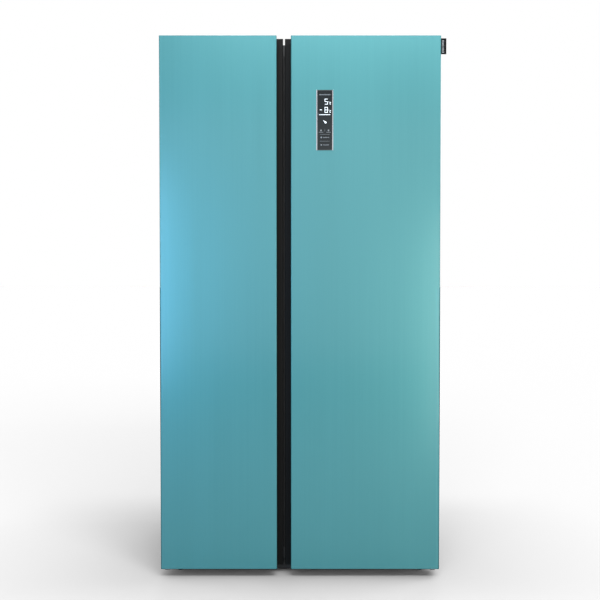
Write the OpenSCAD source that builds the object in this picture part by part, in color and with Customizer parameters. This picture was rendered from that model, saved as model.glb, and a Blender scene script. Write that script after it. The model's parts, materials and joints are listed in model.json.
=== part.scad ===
// Side by side refrigerator: an insulated cabinet with a freezer on the left
// and a fridge on the right, two hinged doors with recessed grips between
// them, and the shelves, drawers, bins and cooling gear inside.
//
// Millimetres. +X is right as seen from the front, +Y is towards the back and
// +Z is up. The origin is on the floor, in the middle of the doors' width and
// of the overall depth.

/* [Overall size] */
// Width across the two closed doors
body_w = 911; // [770:1:1100]
// Height of the doors
door_h = 1736; // [1440:1:2090]
// Space between the floor and the doors
door_bottom = 30; // [28:1:40]
// Depth of the cabinet behind the door seals
cabinet_d = 618; // [560:1:745]
// Space between the floor and the cabinet
cabinet_bottom = 45; // [43:1:55]
// How far the doors stand above the cabinet's roof
door_rise = 14; // [12:1:20]
// How far the cabinet's sides are set in from the doors' edges
cabinet_inset = 2; // [0:0.5:6]

/* [Doors] */
// Width of the freezer door
freezer_door_w = 400; // [330:1:480]
// Thickness of a door without its seal
door_t = 60; // [54:1:72]
// Gap between the two doors
door_gap = 6; // [4:0.5:10]
// Space that the seal fills between door and cabinet
seal_gap = 12; // [10:1:15]
// How far a door opens, in degrees
door_open = 105; // [80:1:108]

/* [Grip] */
// Width of the dark strip beside each door panel
strip_w = 20; // [16:1:26]
// Depth of the finger recess from the door's face
grip_depth = 45; // [38:1:48]
// Depth of the panel's folded edge
lip_d = 16; // [12:1:20]
// How far the recess reaches behind the panel's edge
undercut = 16; // [10:1:24]
// Wall of the grip moulding
grip_wall = 2.5; // [2:0.1:4]

/* [Sheet and liner] */
// Thickness of the steel sheet
sheet_t = 0.8; // [0.5:0.1:1.5]
// Outside bend radius of the door panels
panel_r = 3; // [2:0.5:6]
// Thickness of the moulded liners
liner_t = 2; // [1.5:0.1:3]
// Width of the steel face frame round the cabinet's front
frame_w = 36; // [34:1:38]

/* [Insulation] */
// Side wall of the freezer
freezer_wall = 58; // [54:1:75]
// Side wall of the fridge
fridge_wall = 56; // [54:1:65]
// Wall between the two compartments
partition_t = 64; // [60:1:80]
// Roof
roof_wall = 52; // [46:1:70]
// Floor
floor_wall = 55; // [46:1:70]
// Back wall
back_wall = 70; // [55:1:85]
// Depth of the machine room
machine_d = 230; // [210:1:250]
// Height of the machine room
machine_h = 205; // [200:1:240]
// Wall over and in front of the machine room
step_wall = 48; // [40:1:60]

/* [Hinges and feet] */
// Distance from a door's edge to its hinge pin
pin_in = 18; // [17:0.5:20]
// Distance from a door's face to its hinge pin
pin_back = 30; // [29:0.5:32]
// Radius of a hinge pin
pin_r = 5; // [4:0.5:6]
// Radial clearance round pins, axles and shafts
running_clearance = 0.06; // [0.03:0.01:0.1]
// Thickness of the hinge plates
hinge_t = 4; // [3:0.5:5]
// Height of a hinge cover above the cabinet's roof
hinge_cover_h = 23; // [18:1:30]
// Distance from the cabinet's sides in to the feet and rollers
foot_in = 50; // [44:1:60]
// Radius of a foot's pad
foot_r = 11; // [9:0.5:14]
// Radius of a rear roller
roller_r = 18; // [15:1:20]

/* [Fittings] */
// Shelves in each compartment
shelf_count = 4; // [3:1:5]
// Thickness of a shelf's glass
shelf_t = 5; // [4:0.5:8]
// Distance from the cabinet's front to the shelves
shelf_setback = 106; // [104:1:120]
// Height of a drawer
drawer_h = 172; // [140:1:180]
// Wall of drawers and bins
tub_wall = 2.5; // [2:0.1:4]
// Depth of a door bin
bin_d = 98; // [80:1:98]
// Height of a door bin
bin_h = 112; // [80:1:140]
// Height of the raised ring on a door's inside
dyke_h = 30; // [22:1:34]

/* [Display] */
// Width of the display
display_w = 55; // [45:1:70]
// Height of the display
display_h = 194; // [160:1:230]
// Distance from the fridge panel's free edge to the display
display_in = 82; // [60:1:110]
// Distance from the top of the door to the display
display_down = 175; // [120:1:260]

/* [Hidden] */
bin_count = 4;

eps = 0.01;   // thickness of the slices that hull() joins
cut = 1;      // how far a cutting shape runs past what it cuts
arc_steps = 8;

// Main planes
bead_d = 10;  // depth of the back panel's stiffening beads
depth = door_t + seal_gap + cabinet_d + bead_d;
front_y = -depth / 2;
door_y1 = front_y + door_t;
cab_y0 = door_y1 + seal_gap;
cab_y1 = cab_y0 + cabinet_d;
door_top = door_bottom + door_h;
cab_x = body_w / 2 - cabinet_inset;
cab_z0 = cabinet_bottom;
cab_z1 = door_top - door_rise;
split_x = -body_w / 2 + freezer_door_w + door_gap / 2;
fridge_door_w = body_w - freezer_door_w - door_gap;

// Compartments: [left, right] faces of each, and the faces that they share
freezer_span = [-cab_x + freezer_wall, split_x - partition_t / 2];
fridge_span = [split_x + partition_t / 2, cab_x - fridge_wall];
in_z0 = cab_z0 + floor_wall;
in_z1 = cab_z1 - roof_wall;
in_y1 = cab_y1 - back_wall;
machine_y0 = cab_y1 - machine_d;
machine_z1 = cab_z0 + machine_h;
step_y = machine_y0 - step_wall;
step_z = machine_z1 + step_wall;

// Air ducts: front faces of the covers on the back walls
evaporator_room = 62;
tower_d = 30;
freezer_back = in_y1 - evaporator_room;
fridge_back = in_y1 - tower_d;

// Shelves, drawers and the ledges that carry them
ledge_w = 8;
ledge_h = 10;
ledge_setback = 12; // from a shelf's front to the ledges' front ends
side_gap = 1.5;     // between a shelf and the liner
back_gap = 6;       // between a shelf or drawer and what is behind it
drawer_gap = 12;    // between a drawer's side and the liner
drawer_front_t = 4; // thickness of a drawer's front plate
drawer_rim = 8;     // width of the rim that runs on the ledges
slide_gap = 0.5;    // between a drawer and what it slides on
drawer_lift = 6;    // from the step to the upper drawer
drawer_head = 22;   // from a drawer's top to what is above it
upper_drawer_z = step_z + drawer_lift;
lower_drawer_z = in_z0 + slide_gap;
shelf_z0 = upper_drawer_z + drawer_h + drawer_head;
shelf_pitch = (in_z1 - shelf_z0) / shelf_count;
shelf_y0 = cab_y0 + shelf_setback;
drawer_y0 = shelf_y0 + drawer_front_t;
function shelf_z(i) = shelf_z0 + i * shelf_pitch;

// Hinges
pin_x = body_w / 2 - pin_in;
pin_y = front_y + pin_back;
arm_r = 10;          // half the width of a hinge arm, and its end's radius
nose_wall = 1.3;     // wall of the hinge cover round the arm
nose_gap = 0.2;      // between the arm and the cover
nose_r = arm_r + nose_gap + nose_wall;
arm_tail = 20;       // how far an arm reaches back over the roof
pocket_gap = 1.6;    // between the cover's nose and the door's pocket
pocket_z = cab_z1 - 3;
pin_engage = 15;     // length of pin inside a door cap
bore_spare = 2;      // depth of the bore past the pin's end
cap_top_h = 36;
cap_bottom_h = 22;
hinge_plate_w = 82;
hinge_plate_d = 84;

// Doors, in their own frame: u runs from the free edge to the hinge side, and
// t from the face to the back
under_u = strip_w + undercut;
gasket_t = seal_gap - 0.3;
gasket_w = 14;
gasket_free = 8;
gasket_hinge = pin_in + 3;
gasket_low = 6;
gasket_high = 10;
dyke_clear = 8;      // between the ring and the compartment's walls
dyke_draft = 4;
dyke_top_w = 16;
dyke_base_w = dyke_top_w + 2 * dyke_draft;
bin_clear = 6.5;     // between a bin's end and the ring's foot
bin_rim = 5;
rim_t = 3;
lug_h = 12;
bin_back = 1;        // between a bin and the door's liner
freezer_u = [partition_t - door_gap, 0] / 2 + [0, split_x - door_gap / 2 - freezer_span[0]];
fridge_u = [partition_t - door_gap, 0] / 2 + [0, fridge_span[1] - split_x - door_gap / 2];

// Display
bezel_proud = 1;
bezel_side = 3.3;
bezel_end = 1.2;
bezel_flange = 1.2;
bezel_deep = 11;
glass_back = 2.5;
display_u = strip_w + display_in;
display_z1 = door_top - display_down;

// Machine room
axle_r = 4;
shaft_r = 2;
roller_w = 20;
roller_y = cab_y1 - 60;
roller_x = cab_x - foot_in;
foot_y = cab_y0 + 24;
stud_r = 5;
evaporator_fan_r = 52;
condenser_fan_r = 62;
fan_t = 18;
fan_setback = 6;     // from the duct cover's face to the fan
machine_mid_y = machine_y0 + machine_d / 2;
base_t = 2;

// ---------------------------------------------------------------- helpers

module box(low, high) {
    translate(low) cube(high - low);
}

// Extrudes an outline drawn in Y and Z along X
module along_x(x0, x1) {
    translate([x0, 0, 0]) rotate([90, 0, 90]) linear_extrude(x1 - x0) children();
}

// Extrudes an outline drawn in X and Z along Y
module along_y(y0, y1) {
    translate([0, y1, 0]) rotate([90, 0, 0]) linear_extrude(y1 - y0) children();
}

module upright(z0, z1) {
    translate([0, 0, z0]) linear_extrude(z1 - z0) children();
}

// A round bar from z0 to z1
module bar(r, z0, z1) {
    translate([0, 0, z0]) cylinder(r = r, h = z1 - z0, $fn = 48);
}

module both_sides() {
    children();
    mirror([1, 0, 0]) children();
}

function arc(centre, r, a0, a1) =
    [for (i = [0:arc_steps]) let (a = a0 + (a1 - a0) * i / arc_steps)
        centre + r * [cos(a), sin(a)]];

// A rectangle with its own corner radius at the low and at the high Y side
function rounded(low, high, r_low, r_high) = concat(
    arc([low.x + r_low, low.y + r_low], r_low, 180, 270),
    arc([high.x - r_low, low.y + r_low], r_low, 270, 360),
    arc([high.x - r_high, high.y - r_high], r_high, 0, 90),
    arc([low.x + r_high, high.y - r_high], r_high, 90, 180));

// A slot with round ends, drawn about its middle
module slot(long, wide) {
    polygon(concat(arc([(long - wide) / 2, 0], wide / 2, -90, 90),
                   arc([(wide - long) / 2, 0], wide / 2, 90, 270)));
}

// ---------------------------------------------------------------- cabinet

// Side view of a compartment, stepped over the machine room
function compartment_outline(grow, y0) = [
    [y0, in_z0 - grow], [step_y + grow, in_z0 - grow],
    [step_y + grow, step_z - grow], [in_y1 + grow, step_z - grow],
    [in_y1 + grow, in_z1 + grow], [y0, in_z1 + grow]];

module compartment(span, grow, y0) {
    along_x(span[0] - grow, span[1] + grow) polygon(compartment_outline(grow, y0));
}

// The recess in the roof that holds the control board
control_w = 260;
control_l = 130;
control_deep = 30;
control_y1 = cab_y1 - 60;
control_low = [-control_w / 2, control_y1 - control_l, cab_z1 - control_deep];
control_high = [control_w / 2, control_y1, cab_z1];

module cabinet_shell() {
    color("dimgray") difference() {
        box([-cab_x, cab_y0, cab_z0], [cab_x, cab_y1, cab_z1]);
        box([-cab_x + sheet_t, cab_y0 + sheet_t, cab_z0 - cut],
            [cab_x - sheet_t, cab_y1 + cut, cab_z1 - sheet_t]);
        box([-cab_x + frame_w, cab_y0 - cut, cab_z0 + frame_w],
            [cab_x - frame_w, cab_y0 + sheet_t + cut, cab_z1 - frame_w]);
        box(control_low, control_high + [0, 0, cut]);
    }
}

module back_panel() {
    bead_w = 60;
    bead_x = cab_x * 0.55;
    bead_end = 90;
    color("silver") difference() {
        union() {
            box([-cab_x + sheet_t, cab_y1 - sheet_t, machine_z1 + sheet_t],
                [cab_x - sheet_t, cab_y1, cab_z1 - sheet_t]);
            both_sides() bead(bead_x, bead_w, 0, bead_d, bead_end);
        }
        both_sides() bead(bead_x, bead_w, sheet_t, bead_d - sheet_t, bead_end);
    }
}

// One pressed bead of the back panel, as a drafted bar that stands on it
module bead(x, w, inset, high, end) {
    draft = 6;
    y0 = cab_y1 - (inset > 0 ? sheet_t + cut : sheet_t / 2);
    hull() {
        box([x - w / 2 + inset, y0, machine_z1 + end + inset],
            [x + w / 2 - inset, y0 + eps, cab_z1 - end - inset]);
        box([x - w / 2 + inset + draft, cab_y1 + high - eps, machine_z1 + end + inset + draft],
            [x + w / 2 - inset - draft, cab_y1 + high, cab_z1 - end - inset - draft]);
    }
}

// The stepped sheet that closes the insulation from below
module bottom_board() {
    color("silver") along_x(-cab_x + sheet_t, cab_x - sheet_t) polygon([
        [cab_y0 + sheet_t, cab_z0], [machine_y0, cab_z0],
        [machine_y0, machine_z1], [cab_y1 - sheet_t, machine_z1],
        [cab_y1 - sheet_t, machine_z1 + sheet_t],
        [machine_y0 - sheet_t, machine_z1 + sheet_t],
        [machine_y0 - sheet_t, cab_z0 + sheet_t], [cab_y0 + sheet_t, cab_z0 + sheet_t]]);
}

module base_plate() {
    cheek_t = 1.5;
    fork_t = 3;
    fork_gap = 1.5;
    fork_half = 14;
    fork_z = roller_r - axle_r - 4;
    color("gray") {
        box([-cab_x + sheet_t, machine_y0, cab_z0], [cab_x - sheet_t, cab_y1, cab_z0 + base_t]);
        both_sides()
            box([cab_x - sheet_t - cheek_t, machine_y0, cab_z0],
                [cab_x - sheet_t, cab_y1, machine_z1]);
        both_sides() translate([roller_x, roller_y, 0]) {
            for (side = [-1, 1]) {
                x = side * (roller_w / 2 + fork_gap + fork_t / 2);
                box([x - fork_t / 2, -fork_half, fork_z],
                    [x + fork_t / 2, fork_half, cab_z0 + base_t / 2]);
            }
            long = roller_w + 2 * (fork_gap + fork_t) + 4;
            translate([-long / 2, 0, roller_r]) rotate([0, 90, 0])
                cylinder(r = axle_r, h = long, $fn = 48);
        }
    }
}

module cabinet_foam() {
    color("wheat") difference() {
        along_x(-cab_x + sheet_t, cab_x - sheet_t) polygon([
            [cab_y0 + sheet_t, cab_z0 + sheet_t], [machine_y0 - sheet_t, cab_z0 + sheet_t],
            [machine_y0 - sheet_t, machine_z1 + sheet_t],
            [cab_y1 - sheet_t, machine_z1 + sheet_t],
            [cab_y1 - sheet_t, cab_z1 - sheet_t], [cab_y0 + sheet_t, cab_z1 - sheet_t]]);
        // the liners' front lips
        box([-cab_x + frame_w, cab_y0, cab_z0 + frame_w],
            [cab_x - frame_w, cab_y0 + liner_t, cab_z1 - frame_w]);
        compartment(freezer_span, liner_t, cab_y0 - cut);
        compartment(fridge_span, liner_t, cab_y0 - cut);
        box(control_low, control_high + [0, 0, cut]);
    }
}

// A compartment's liner, with its front lip from x0 to x1 and its ledges
module liner(span, lip_x0, lip_x1, back_y) {
    difference() {
        union() {
            compartment(span, liner_t, cab_y0);
            box([lip_x0, cab_y0, cab_z0 + frame_w],
                [lip_x1, cab_y0 + liner_t, cab_z1 - frame_w]);
        }
        compartment(span, 0, cab_y0 - cut);
    }
    for (i = [0:shelf_count - 1])
        ledges(span, shelf_y0 + ledge_setback, back_y - back_gap, shelf_z(i));
    ledges(span, shelf_y0 + ledge_setback, back_y - back_gap, upper_drawer_z + drawer_h - rim_t - slide_gap);
}

// A pair of ledges, with their tops at z
module ledges(span, y0, y1, z) {
    box([span[0] - liner_t / 2, y0, z - ledge_h], [span[0] + ledge_w, y1, z]);
    box([span[1] - ledge_w, y0, z - ledge_h], [span[1] + liner_t / 2, y1, z]);
}

module freezer_liner() {
    color("white")
        liner(freezer_span, -cab_x + frame_w, freezer_span[1] + liner_t, freezer_back);
}

module fridge_liner() {
    color("white")
        liner(fridge_span, fridge_span[0] - liner_t, cab_x - frame_w, fridge_back);
}

module mullion_plate() {
    color("lightgray")
        box([freezer_span[1] + liner_t, cab_y0, cab_z0 + frame_w],
            [fridge_span[0] - liner_t, cab_y0 + liner_t, cab_z1 - frame_w]);
}

module kick_plate() {
    half = pin_x - hinge_plate_w;
    low = 7;
    plate_t = 3;
    y0 = cab_y0 + 8;
    shelf_d = 34;
    slots = 14;
    slot_w = 6;
    color([0.1, 0.1, 0.1]) {
        along_y(y0, y0 + plate_t) difference() {
            translate([-half, low]) square([2 * half, cab_z0 - low]);
            for (i = [0:slots - 1])
                translate([(i - (slots - 1) / 2) * 2 * half / (slots + 1), (cab_z0 + low) / 2])
                    slot(half / slots, slot_w);
        }
        box([-half, y0, cab_z0 - plate_t], [half, y0 + shelf_d, cab_z0]);
    }
}

// ---------------------------------------------------------------- hinges

// Outline of the top hinge: a plate on the roof and an arm to the pin
module hinge_outline(r) {
    translate([pin_x, pin_y]) circle(r = r, $fn = 48);
    translate([pin_x - r, pin_y]) square([2 * r, cab_y0 + arm_tail - pin_y]);
}

module top_hinges() {
    plate_y0 = cab_y0 + 8;
    screw_r = 3;
    color("silver") both_sides() difference() {
        union() {
            upright(cab_z1, cab_z1 + hinge_t) {
                hinge_outline(arm_r);
                translate([pin_x - hinge_plate_w + arm_r, plate_y0])
                    square([hinge_plate_w, hinge_plate_d]);
            }
            translate([pin_x, pin_y, 0]) bar(pin_r, pocket_z - pin_engage, cab_z1 + hinge_t / 2);
        }
        for (x = [0.2, 0.8], y = [0.25, 0.8])
            translate([pin_x - hinge_plate_w * x + arm_r, plate_y0 + hinge_plate_d * y, 0])
                bar(screw_r, cab_z1 - cut, cab_z1 + hinge_t + cut);
    }
}

// The boss that the foot's stud runs in reaches down from the bracket
module bottom_hinges() {
    front_z = door_bottom - 8;
    washer_h = 3.5;
    boss_r = 11;
    boss_h = 15;
    back_d = 78;
    half_w = 12;
    washer_r = pin_r + 4;
    color("silver") both_sides() difference() {
        union() {
            box([pin_x - hinge_plate_w + half_w, cab_y0, cab_z0 - hinge_t],
                [pin_x + half_w, cab_y0 + back_d, cab_z0]);
            box([pin_x - half_w, cab_y0 - hinge_t, front_z], [pin_x + half_w, cab_y0, cab_z0]);
            upright(front_z, front_z + hinge_t) {
                translate([pin_x, pin_y]) circle(r = half_w, $fn = 48);
                translate([pin_x - half_w, pin_y]) square([2 * half_w, cab_y0 - pin_y]);
            }
            translate([pin_x, pin_y, 0]) {
                bar(washer_r, front_z + hinge_t / 2, front_z + hinge_t + washer_h);
                bar(pin_r, front_z, door_bottom + pin_engage);
            }
            translate([roller_x, foot_y, 0])
                bar(boss_r, cab_z0 - boss_h - hinge_t, cab_z0 - hinge_t / 2);
        }
        translate([roller_x, foot_y, 0])
            bar(stud_r + running_clearance, cab_z0 - boss_h - hinge_t - cut, cab_z0 + cut);
    }
}

module hinge_covers() {
    wall = 2;
    y0 = cab_y0 + 3;
    y1 = y0 + hinge_plate_d + 10;
    x0 = pin_x - hinge_plate_w + arm_r - 4;
    x1 = cab_x - 2;
    nose_z1 = door_top - 3;
    top_z = cab_z1 + hinge_cover_h;
    edge = 7;
    color([0.16, 0.16, 0.17]) both_sides() difference() {
        union() {
            hull() {
                upright(cab_z1, top_z - edge) polygon(rounded([x0, y0], [x1, y1], edge, edge));
                upright(cab_z1, top_z)
                    polygon(rounded([x0 + edge, y0 + edge], [x1 - edge, y1 - edge], edge, edge));
            }
            upright(cab_z1, nose_z1) hinge_outline(nose_r);
        }
        upright(cab_z1 - cut, cab_z1 + hinge_t + 1) hinge_outline(arm_r + nose_gap);
        hull() {
            upright(cab_z1 - cut, top_z - edge - wall)
                polygon(rounded([x0 + wall, y0 + wall], [x1 - wall, y1 - wall], edge, edge));
            upright(cab_z1 - cut, top_z - wall)
                polygon(rounded([x0 + edge, y0 + edge], [x1 - edge, y1 - edge], edge, edge));
        }
    }
}

// ---------------------------------------------------------------- roof controls

module control_box_lid() {
    overlap = 8;
    lid_t = 2.5;
    dome = 6;
    color([0.16, 0.16, 0.17]) difference() {
        union() {
            box([control_low.x - overlap, control_low.y - overlap, cab_z1],
                [control_high.x + overlap, control_high.y + overlap, cab_z1 + lid_t]);
            box([control_low.x + overlap, control_low.y + overlap, cab_z1],
                [control_high.x - overlap, control_high.y - overlap, cab_z1 + lid_t + dome]);
        }
        box([control_low.x + overlap + lid_t, control_low.y + overlap + lid_t, cab_z1 - cut],
            [control_high.x - overlap - lid_t, control_high.y - overlap - lid_t, cab_z1 + dome]);
    }
}

module control_board() {
    edge = 8;
    board_t = 1.6;
    z0 = control_low.z + 4;
    low = [control_low.x + edge, control_low.y + edge, z0];
    high = [control_high.x - edge, control_high.y - edge, z0 + board_t];
    color("green") {
        box(low, high);
        // transformer, relays and plug rows, as [x, y, width, length, height]
        for (p = [[12, 14, 46, 40, 20], [72, 14, 20, 26, 15], [100, 14, 20, 26, 15],
                  [134, 18, 34, 34, 9], [16, 78, 90, 12, 11], [126, 78, 84, 12, 11]])
            box([low.x + p[0], low.y + p[1], high.z - board_t / 2],
                [low.x + p[0] + p[2], low.y + p[1] + p[3], high.z + p[4]]);
        // stand-offs under the board's corners
        for (x = [low.x + 6, high.x - 6], y = [low.y + 6, high.y - 6])
            translate([x, y, 0]) bar(3, control_low.z, z0 + board_t / 2);
    }
}

// ---------------------------------------------------------------- shelves and drawers

// A shelf is a sheet of glass with a deeper rail moulded along its front and back
module shelf(span, y1, z) {
    rail_h = 14;
    rail_d = 14;
    low = [span[0] + side_gap, shelf_y0, z];
    high = [span[1] - side_gap, y1, z + shelf_t];
    inset = ledge_w + 1;
    box(low, high);
    box([low.x + inset, low.y, z - rail_h + shelf_t], [high.x - inset, low.y + rail_d, z + shelf_t]);
    box([low.x + inset, high.y - rail_d, z], [high.x - inset, high.y, z + rail_h]);
}

module freezer_shelves() {
    color([0.8, 0.9, 0.9, 0.5]) for (i = [0:shelf_count - 1])
        shelf(freezer_span, freezer_back - back_gap, shelf_z(i));
}

module fridge_shelves() {
    color([0.8, 0.9, 0.9, 0.5]) for (i = [0:shelf_count - 1])
        shelf(fridge_span, fridge_back - back_gap, shelf_z(i));
}

// An open tub with a taller front that has a finger slot
module drawer(span, z0, y1) {
    corner = 12;
    slot_l = 130;
    slot_h = 24;
    plate_side = 4;   // how far the front plate stands out past the tub
    plate_top = 8;
    rim_setback = 12;
    low = [span[0] + drawer_gap, drawer_y0];
    high = [span[1] - drawer_gap, y1];
    wall = [tub_wall, tub_wall];
    difference() {
        union() {
            upright(z0, z0 + drawer_h) polygon(rounded(low, high, 2, corner));
            // the rim that runs on the ledges
            upright(z0 + drawer_h - rim_t, z0 + drawer_h)
                polygon(rounded([low.x - drawer_rim, low.y + rim_setback],
                                [high.x + drawer_rim, high.y], 1, corner));
            // the front plate, wider than the tub
            upright(z0, z0 + drawer_h + plate_top)
                polygon(rounded([low.x - plate_side, low.y - drawer_front_t],
                                [high.x + plate_side, low.y + 1], 1.5, 1.5));
        }
        upright(z0 + tub_wall, z0 + drawer_h + plate_top + cut)
            polygon(rounded(low + wall + [0, 2], high - wall, 2, corner - tub_wall));
        along_y(low.y - drawer_front_t - cut, low.y + 10)
            translate([(low.x + high.x) / 2, z0 + drawer_h - slot_h]) slot(slot_l, slot_h);
    }
}

module freezer_drawer_upper() {
    color([0.85, 0.93, 0.97, 0.6]) drawer(freezer_span, upper_drawer_z, freezer_back - 2 * back_gap);
}

module freezer_drawer_lower() {
    color([0.85, 0.93, 0.97, 0.6]) drawer(freezer_span, lower_drawer_z, step_y - back_gap);
}

module crisper_drawer_upper() {
    color([0.85, 0.93, 0.97, 0.6]) drawer(fridge_span, upper_drawer_z, fridge_back - 2 * back_gap);
}

module crisper_drawer_lower() {
    color([0.85, 0.93, 0.97, 0.6]) drawer(fridge_span, lower_drawer_z, step_y - back_gap);
}

module lamp_covers() {
    lamp_w = 170;
    lamp_l = 44;
    lamp_t = 9;
    lamp_y = cab_y0 + 150;
    color("white") for (span = [freezer_span, fridge_span]) {
        mid = (span[0] + span[1]) / 2;
        upright(in_z1 - lamp_t, in_z1)
            polygon(rounded([mid - lamp_w / 2, lamp_y], [mid + lamp_w / 2, lamp_y + lamp_l], 10, 10));
    }
}

// ---------------------------------------------------------------- air and cooling

freezer_mid = (freezer_span[0] + freezer_span[1]) / 2;
coil_h = 240;
coil_z0 = step_z + 28;
fan_z = coil_z0 + coil_h + 78;

module freezer_duct_cover() {
    cover_t = 2.5;
    half = (freezer_span[1] - freezer_span[0]) / 2 - side_gap;
    z0 = step_z;
    z1 = in_z1;
    vent_l = half * 0.5;
    vent_h = 7;
    return_pitch = 9;
    grille_pitch = 11;
    color("white") difference() {
        union() {
            box([freezer_mid - half, freezer_back, z0],
                [freezer_mid + half, freezer_back + cover_t, z1]);
            for (side = [-1, 1]) {
                x = freezer_mid + side * (half - cover_t / 2);
                box([x - cover_t / 2, freezer_back, z0], [x + cover_t / 2, in_y1, z1]);
            }
        }
        // return air at the foot, one pair of vents above each shelf, and the fan's grille
        for (i = [0:5])
            vent(freezer_mid, freezer_back, z0 + 14 + return_pitch * i, half * 1.5, 5);
        for (i = [1:shelf_count - 1], side = [-1, 1], row = [0, 1])
            vent(freezer_mid + side * half * 0.55, freezer_back,
                 shelf_z(i) + shelf_pitch * 0.68 + 2 * vent_h * row, vent_l, vent_h);
        for (i = [-4:4])
            vent(freezer_mid, freezer_back, fan_z + grille_pitch * i,
                 2 * sqrt(pow(evaporator_fan_r, 2) - pow(grille_pitch * i, 2)), 6);
    }
}

// Cuts a slot through a cover whose face is at y
module vent(x, y, z, long, high) {
    along_y(y - cut, y + 6) translate([x, z]) slot(long, high);
}

module fridge_duct_cover() {
    mid = (fridge_span[0] + fridge_span[1]) / 2;
    half = 92;
    wall = 2.5;
    vent_l = 56;
    vent_h = 7;
    z0 = step_z + 30;
    z1 = in_z1;
    color("white") difference() {
        upright(z0, z1)
            polygon(rounded([mid - half, fridge_back], [mid + half, in_y1], 12, 1));
        upright(z0 - cut, z1 - wall)
            polygon(rounded([mid - half + wall, fridge_back + wall], [mid + half - wall, in_y1 + cut],
                            10, 0.5));
        for (i = [0:shelf_count - 1], side = [-1, 1], row = [0, 1])
            vent(mid + side * half * 0.48, fridge_back,
                 shelf_z(i) + shelf_pitch * 0.66 + 2 * vent_h * row, vent_l, vent_h);
    }
}

// A coil of tube_count runs along X with fins across them
module finned_coil(long, tube_count, pitch, tube_r, fin_count, fin_d) {
    for (k = [0:tube_count - 1]) {
        translate([0, 0, k * pitch]) rotate([0, 90, 0])
            cylinder(r = tube_r, h = long, $fn = 32);
        if (k < tube_count - 1)
            translate([k % 2 == 0 ? long : 0, 0, (k + 0.5) * pitch])
                rotate([90, k % 2 == 0 ? 90 : 270, 0])
                    rotate_extrude(angle = 180, $fn = 48)
                        translate([pitch / 2, 0]) circle(r = tube_r, $fn = 32);
    }
    fin_t = 0.8;
    for (i = [0:fin_count - 1]) {
        x = long * (i + 0.5) / fin_count;
        box([x - fin_t / 2, -fin_d / 2, -pitch / 2 + 1],
            [x + fin_t / 2, fin_d / 2, (tube_count - 0.5) * pitch - 1]);
    }
}

module evaporator() {
    runs = 8;
    pitch = coil_h / runs;
    long = freezer_span[1] - freezer_span[0] - 2 * pitch - 14;
    tube_y = in_y1 - 26;
    hanger = 10;
    color("silver") {
        translate([freezer_mid - long / 2, tube_y, coil_z0 + pitch / 2])
            finned_coil(long, runs, pitch, tube_r = 4, fin_count = 14, fin_d = 40);
        // the hangers that hold the coil to the back wall
        for (side = [-1, 1]) {
            x = freezer_mid + side * (long / 2 - hanger);
            box([x - 1, tube_y - 20, coil_z0 + 2], [x + 1, in_y1, coil_z0 + coil_h - 2]);
        }
    }
}

module condenser() {
    runs = 6;
    pitch = 24;
    long = 190;
    fin_d = 44;
    x0 = -150;
    row_y = 26;
    color([0.15, 0.15, 0.15]) for (row = [-1, 1])
        translate([x0, machine_mid_y + row * row_y, cab_z0 + base_t + pitch / 2 - 1])
            finned_coil(long, runs, pitch, tube_r = 2.4, fin_count = 16, fin_d = fin_d);
}

module compressor() {
    r = 76;
    body_z0 = cab_z0 + 14;
    body_z1 = cab_z0 + 158;
    seam_z = (body_z0 + body_z1) / 2 + 14;
    dome = 34;
    x = cab_x - 175;
    foot_w = 190;
    foot_half_d = 34;
    grommet_r = 8;
    pipe_r = 4;
    pipe_l = 26;
    color([0.12, 0.12, 0.13]) translate([x, machine_mid_y, 0]) {
        rotate_extrude($fn = 96) polygon(concat(
            [[0, body_z0]],
            arc([r - dome, body_z0 + dome], dome, -90, 0),
            [[r, seam_z - 4], [r + 5, seam_z - 4], [r + 5, seam_z + 2], [r - 2, seam_z + 2]],
            arc([r - 2 - dome, body_z1 - dome], dome, 0, 90),
            [[0, body_z1]]));
        // mounting rail on four rubber grommets
        box([-foot_w / 2, -foot_half_d, cab_z0 + 10], [foot_w / 2, foot_half_d, cab_z0 + 17]);
        for (sx = [-1, 1], sy = [-1, 1])
            translate([sx * (foot_w / 2 - 1.5 * grommet_r), sy * (foot_half_d - 1.5 * grommet_r), 0])
                bar(grommet_r, cab_z0 + base_t, cab_z0 + 12);
        // terminal box and pipe stubs
        box([r - 14, -26, body_z0 + 40], [r + 26, 26, body_z0 + 92]);
        for (a = [140, 170, 205])
            rotate(a) translate([r - 8, 0, body_z0 + 74]) rotate([0, 70, 0])
                cylinder(r = pipe_r, h = pipe_l, $fn = 32);
    }
}

module drain_pan() {
    low = [-cab_x + 24, machine_y0 + 26];
    high = [-180, cab_y1 - 34];
    z0 = cab_z0 + base_t;
    pan_h = 46;
    pan_t = 2;
    corner = 14;
    wall = [pan_t, pan_t];
    color([0.2, 0.2, 0.2]) difference() {
        upright(z0, z0 + pan_h) polygon(rounded(low, high, corner, corner));
        upright(z0 + pan_t, z0 + pan_h + cut)
            polygon(rounded(low + wall, high - wall, corner - pan_t, corner - pan_t));
    }
}

// A motor whose shaft points along -Y, with its back at y = back
module fan_motor(back) {
    motor_r = 17;
    rotate([-90, 0, 0]) {
        bar(motor_r, fan_t + 3, back);
        bar(shaft_r, 3, fan_t + 6);
    }
}

condenser_fan_place = [cab_x - 315, machine_mid_y, cab_z0 + 88];

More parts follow.
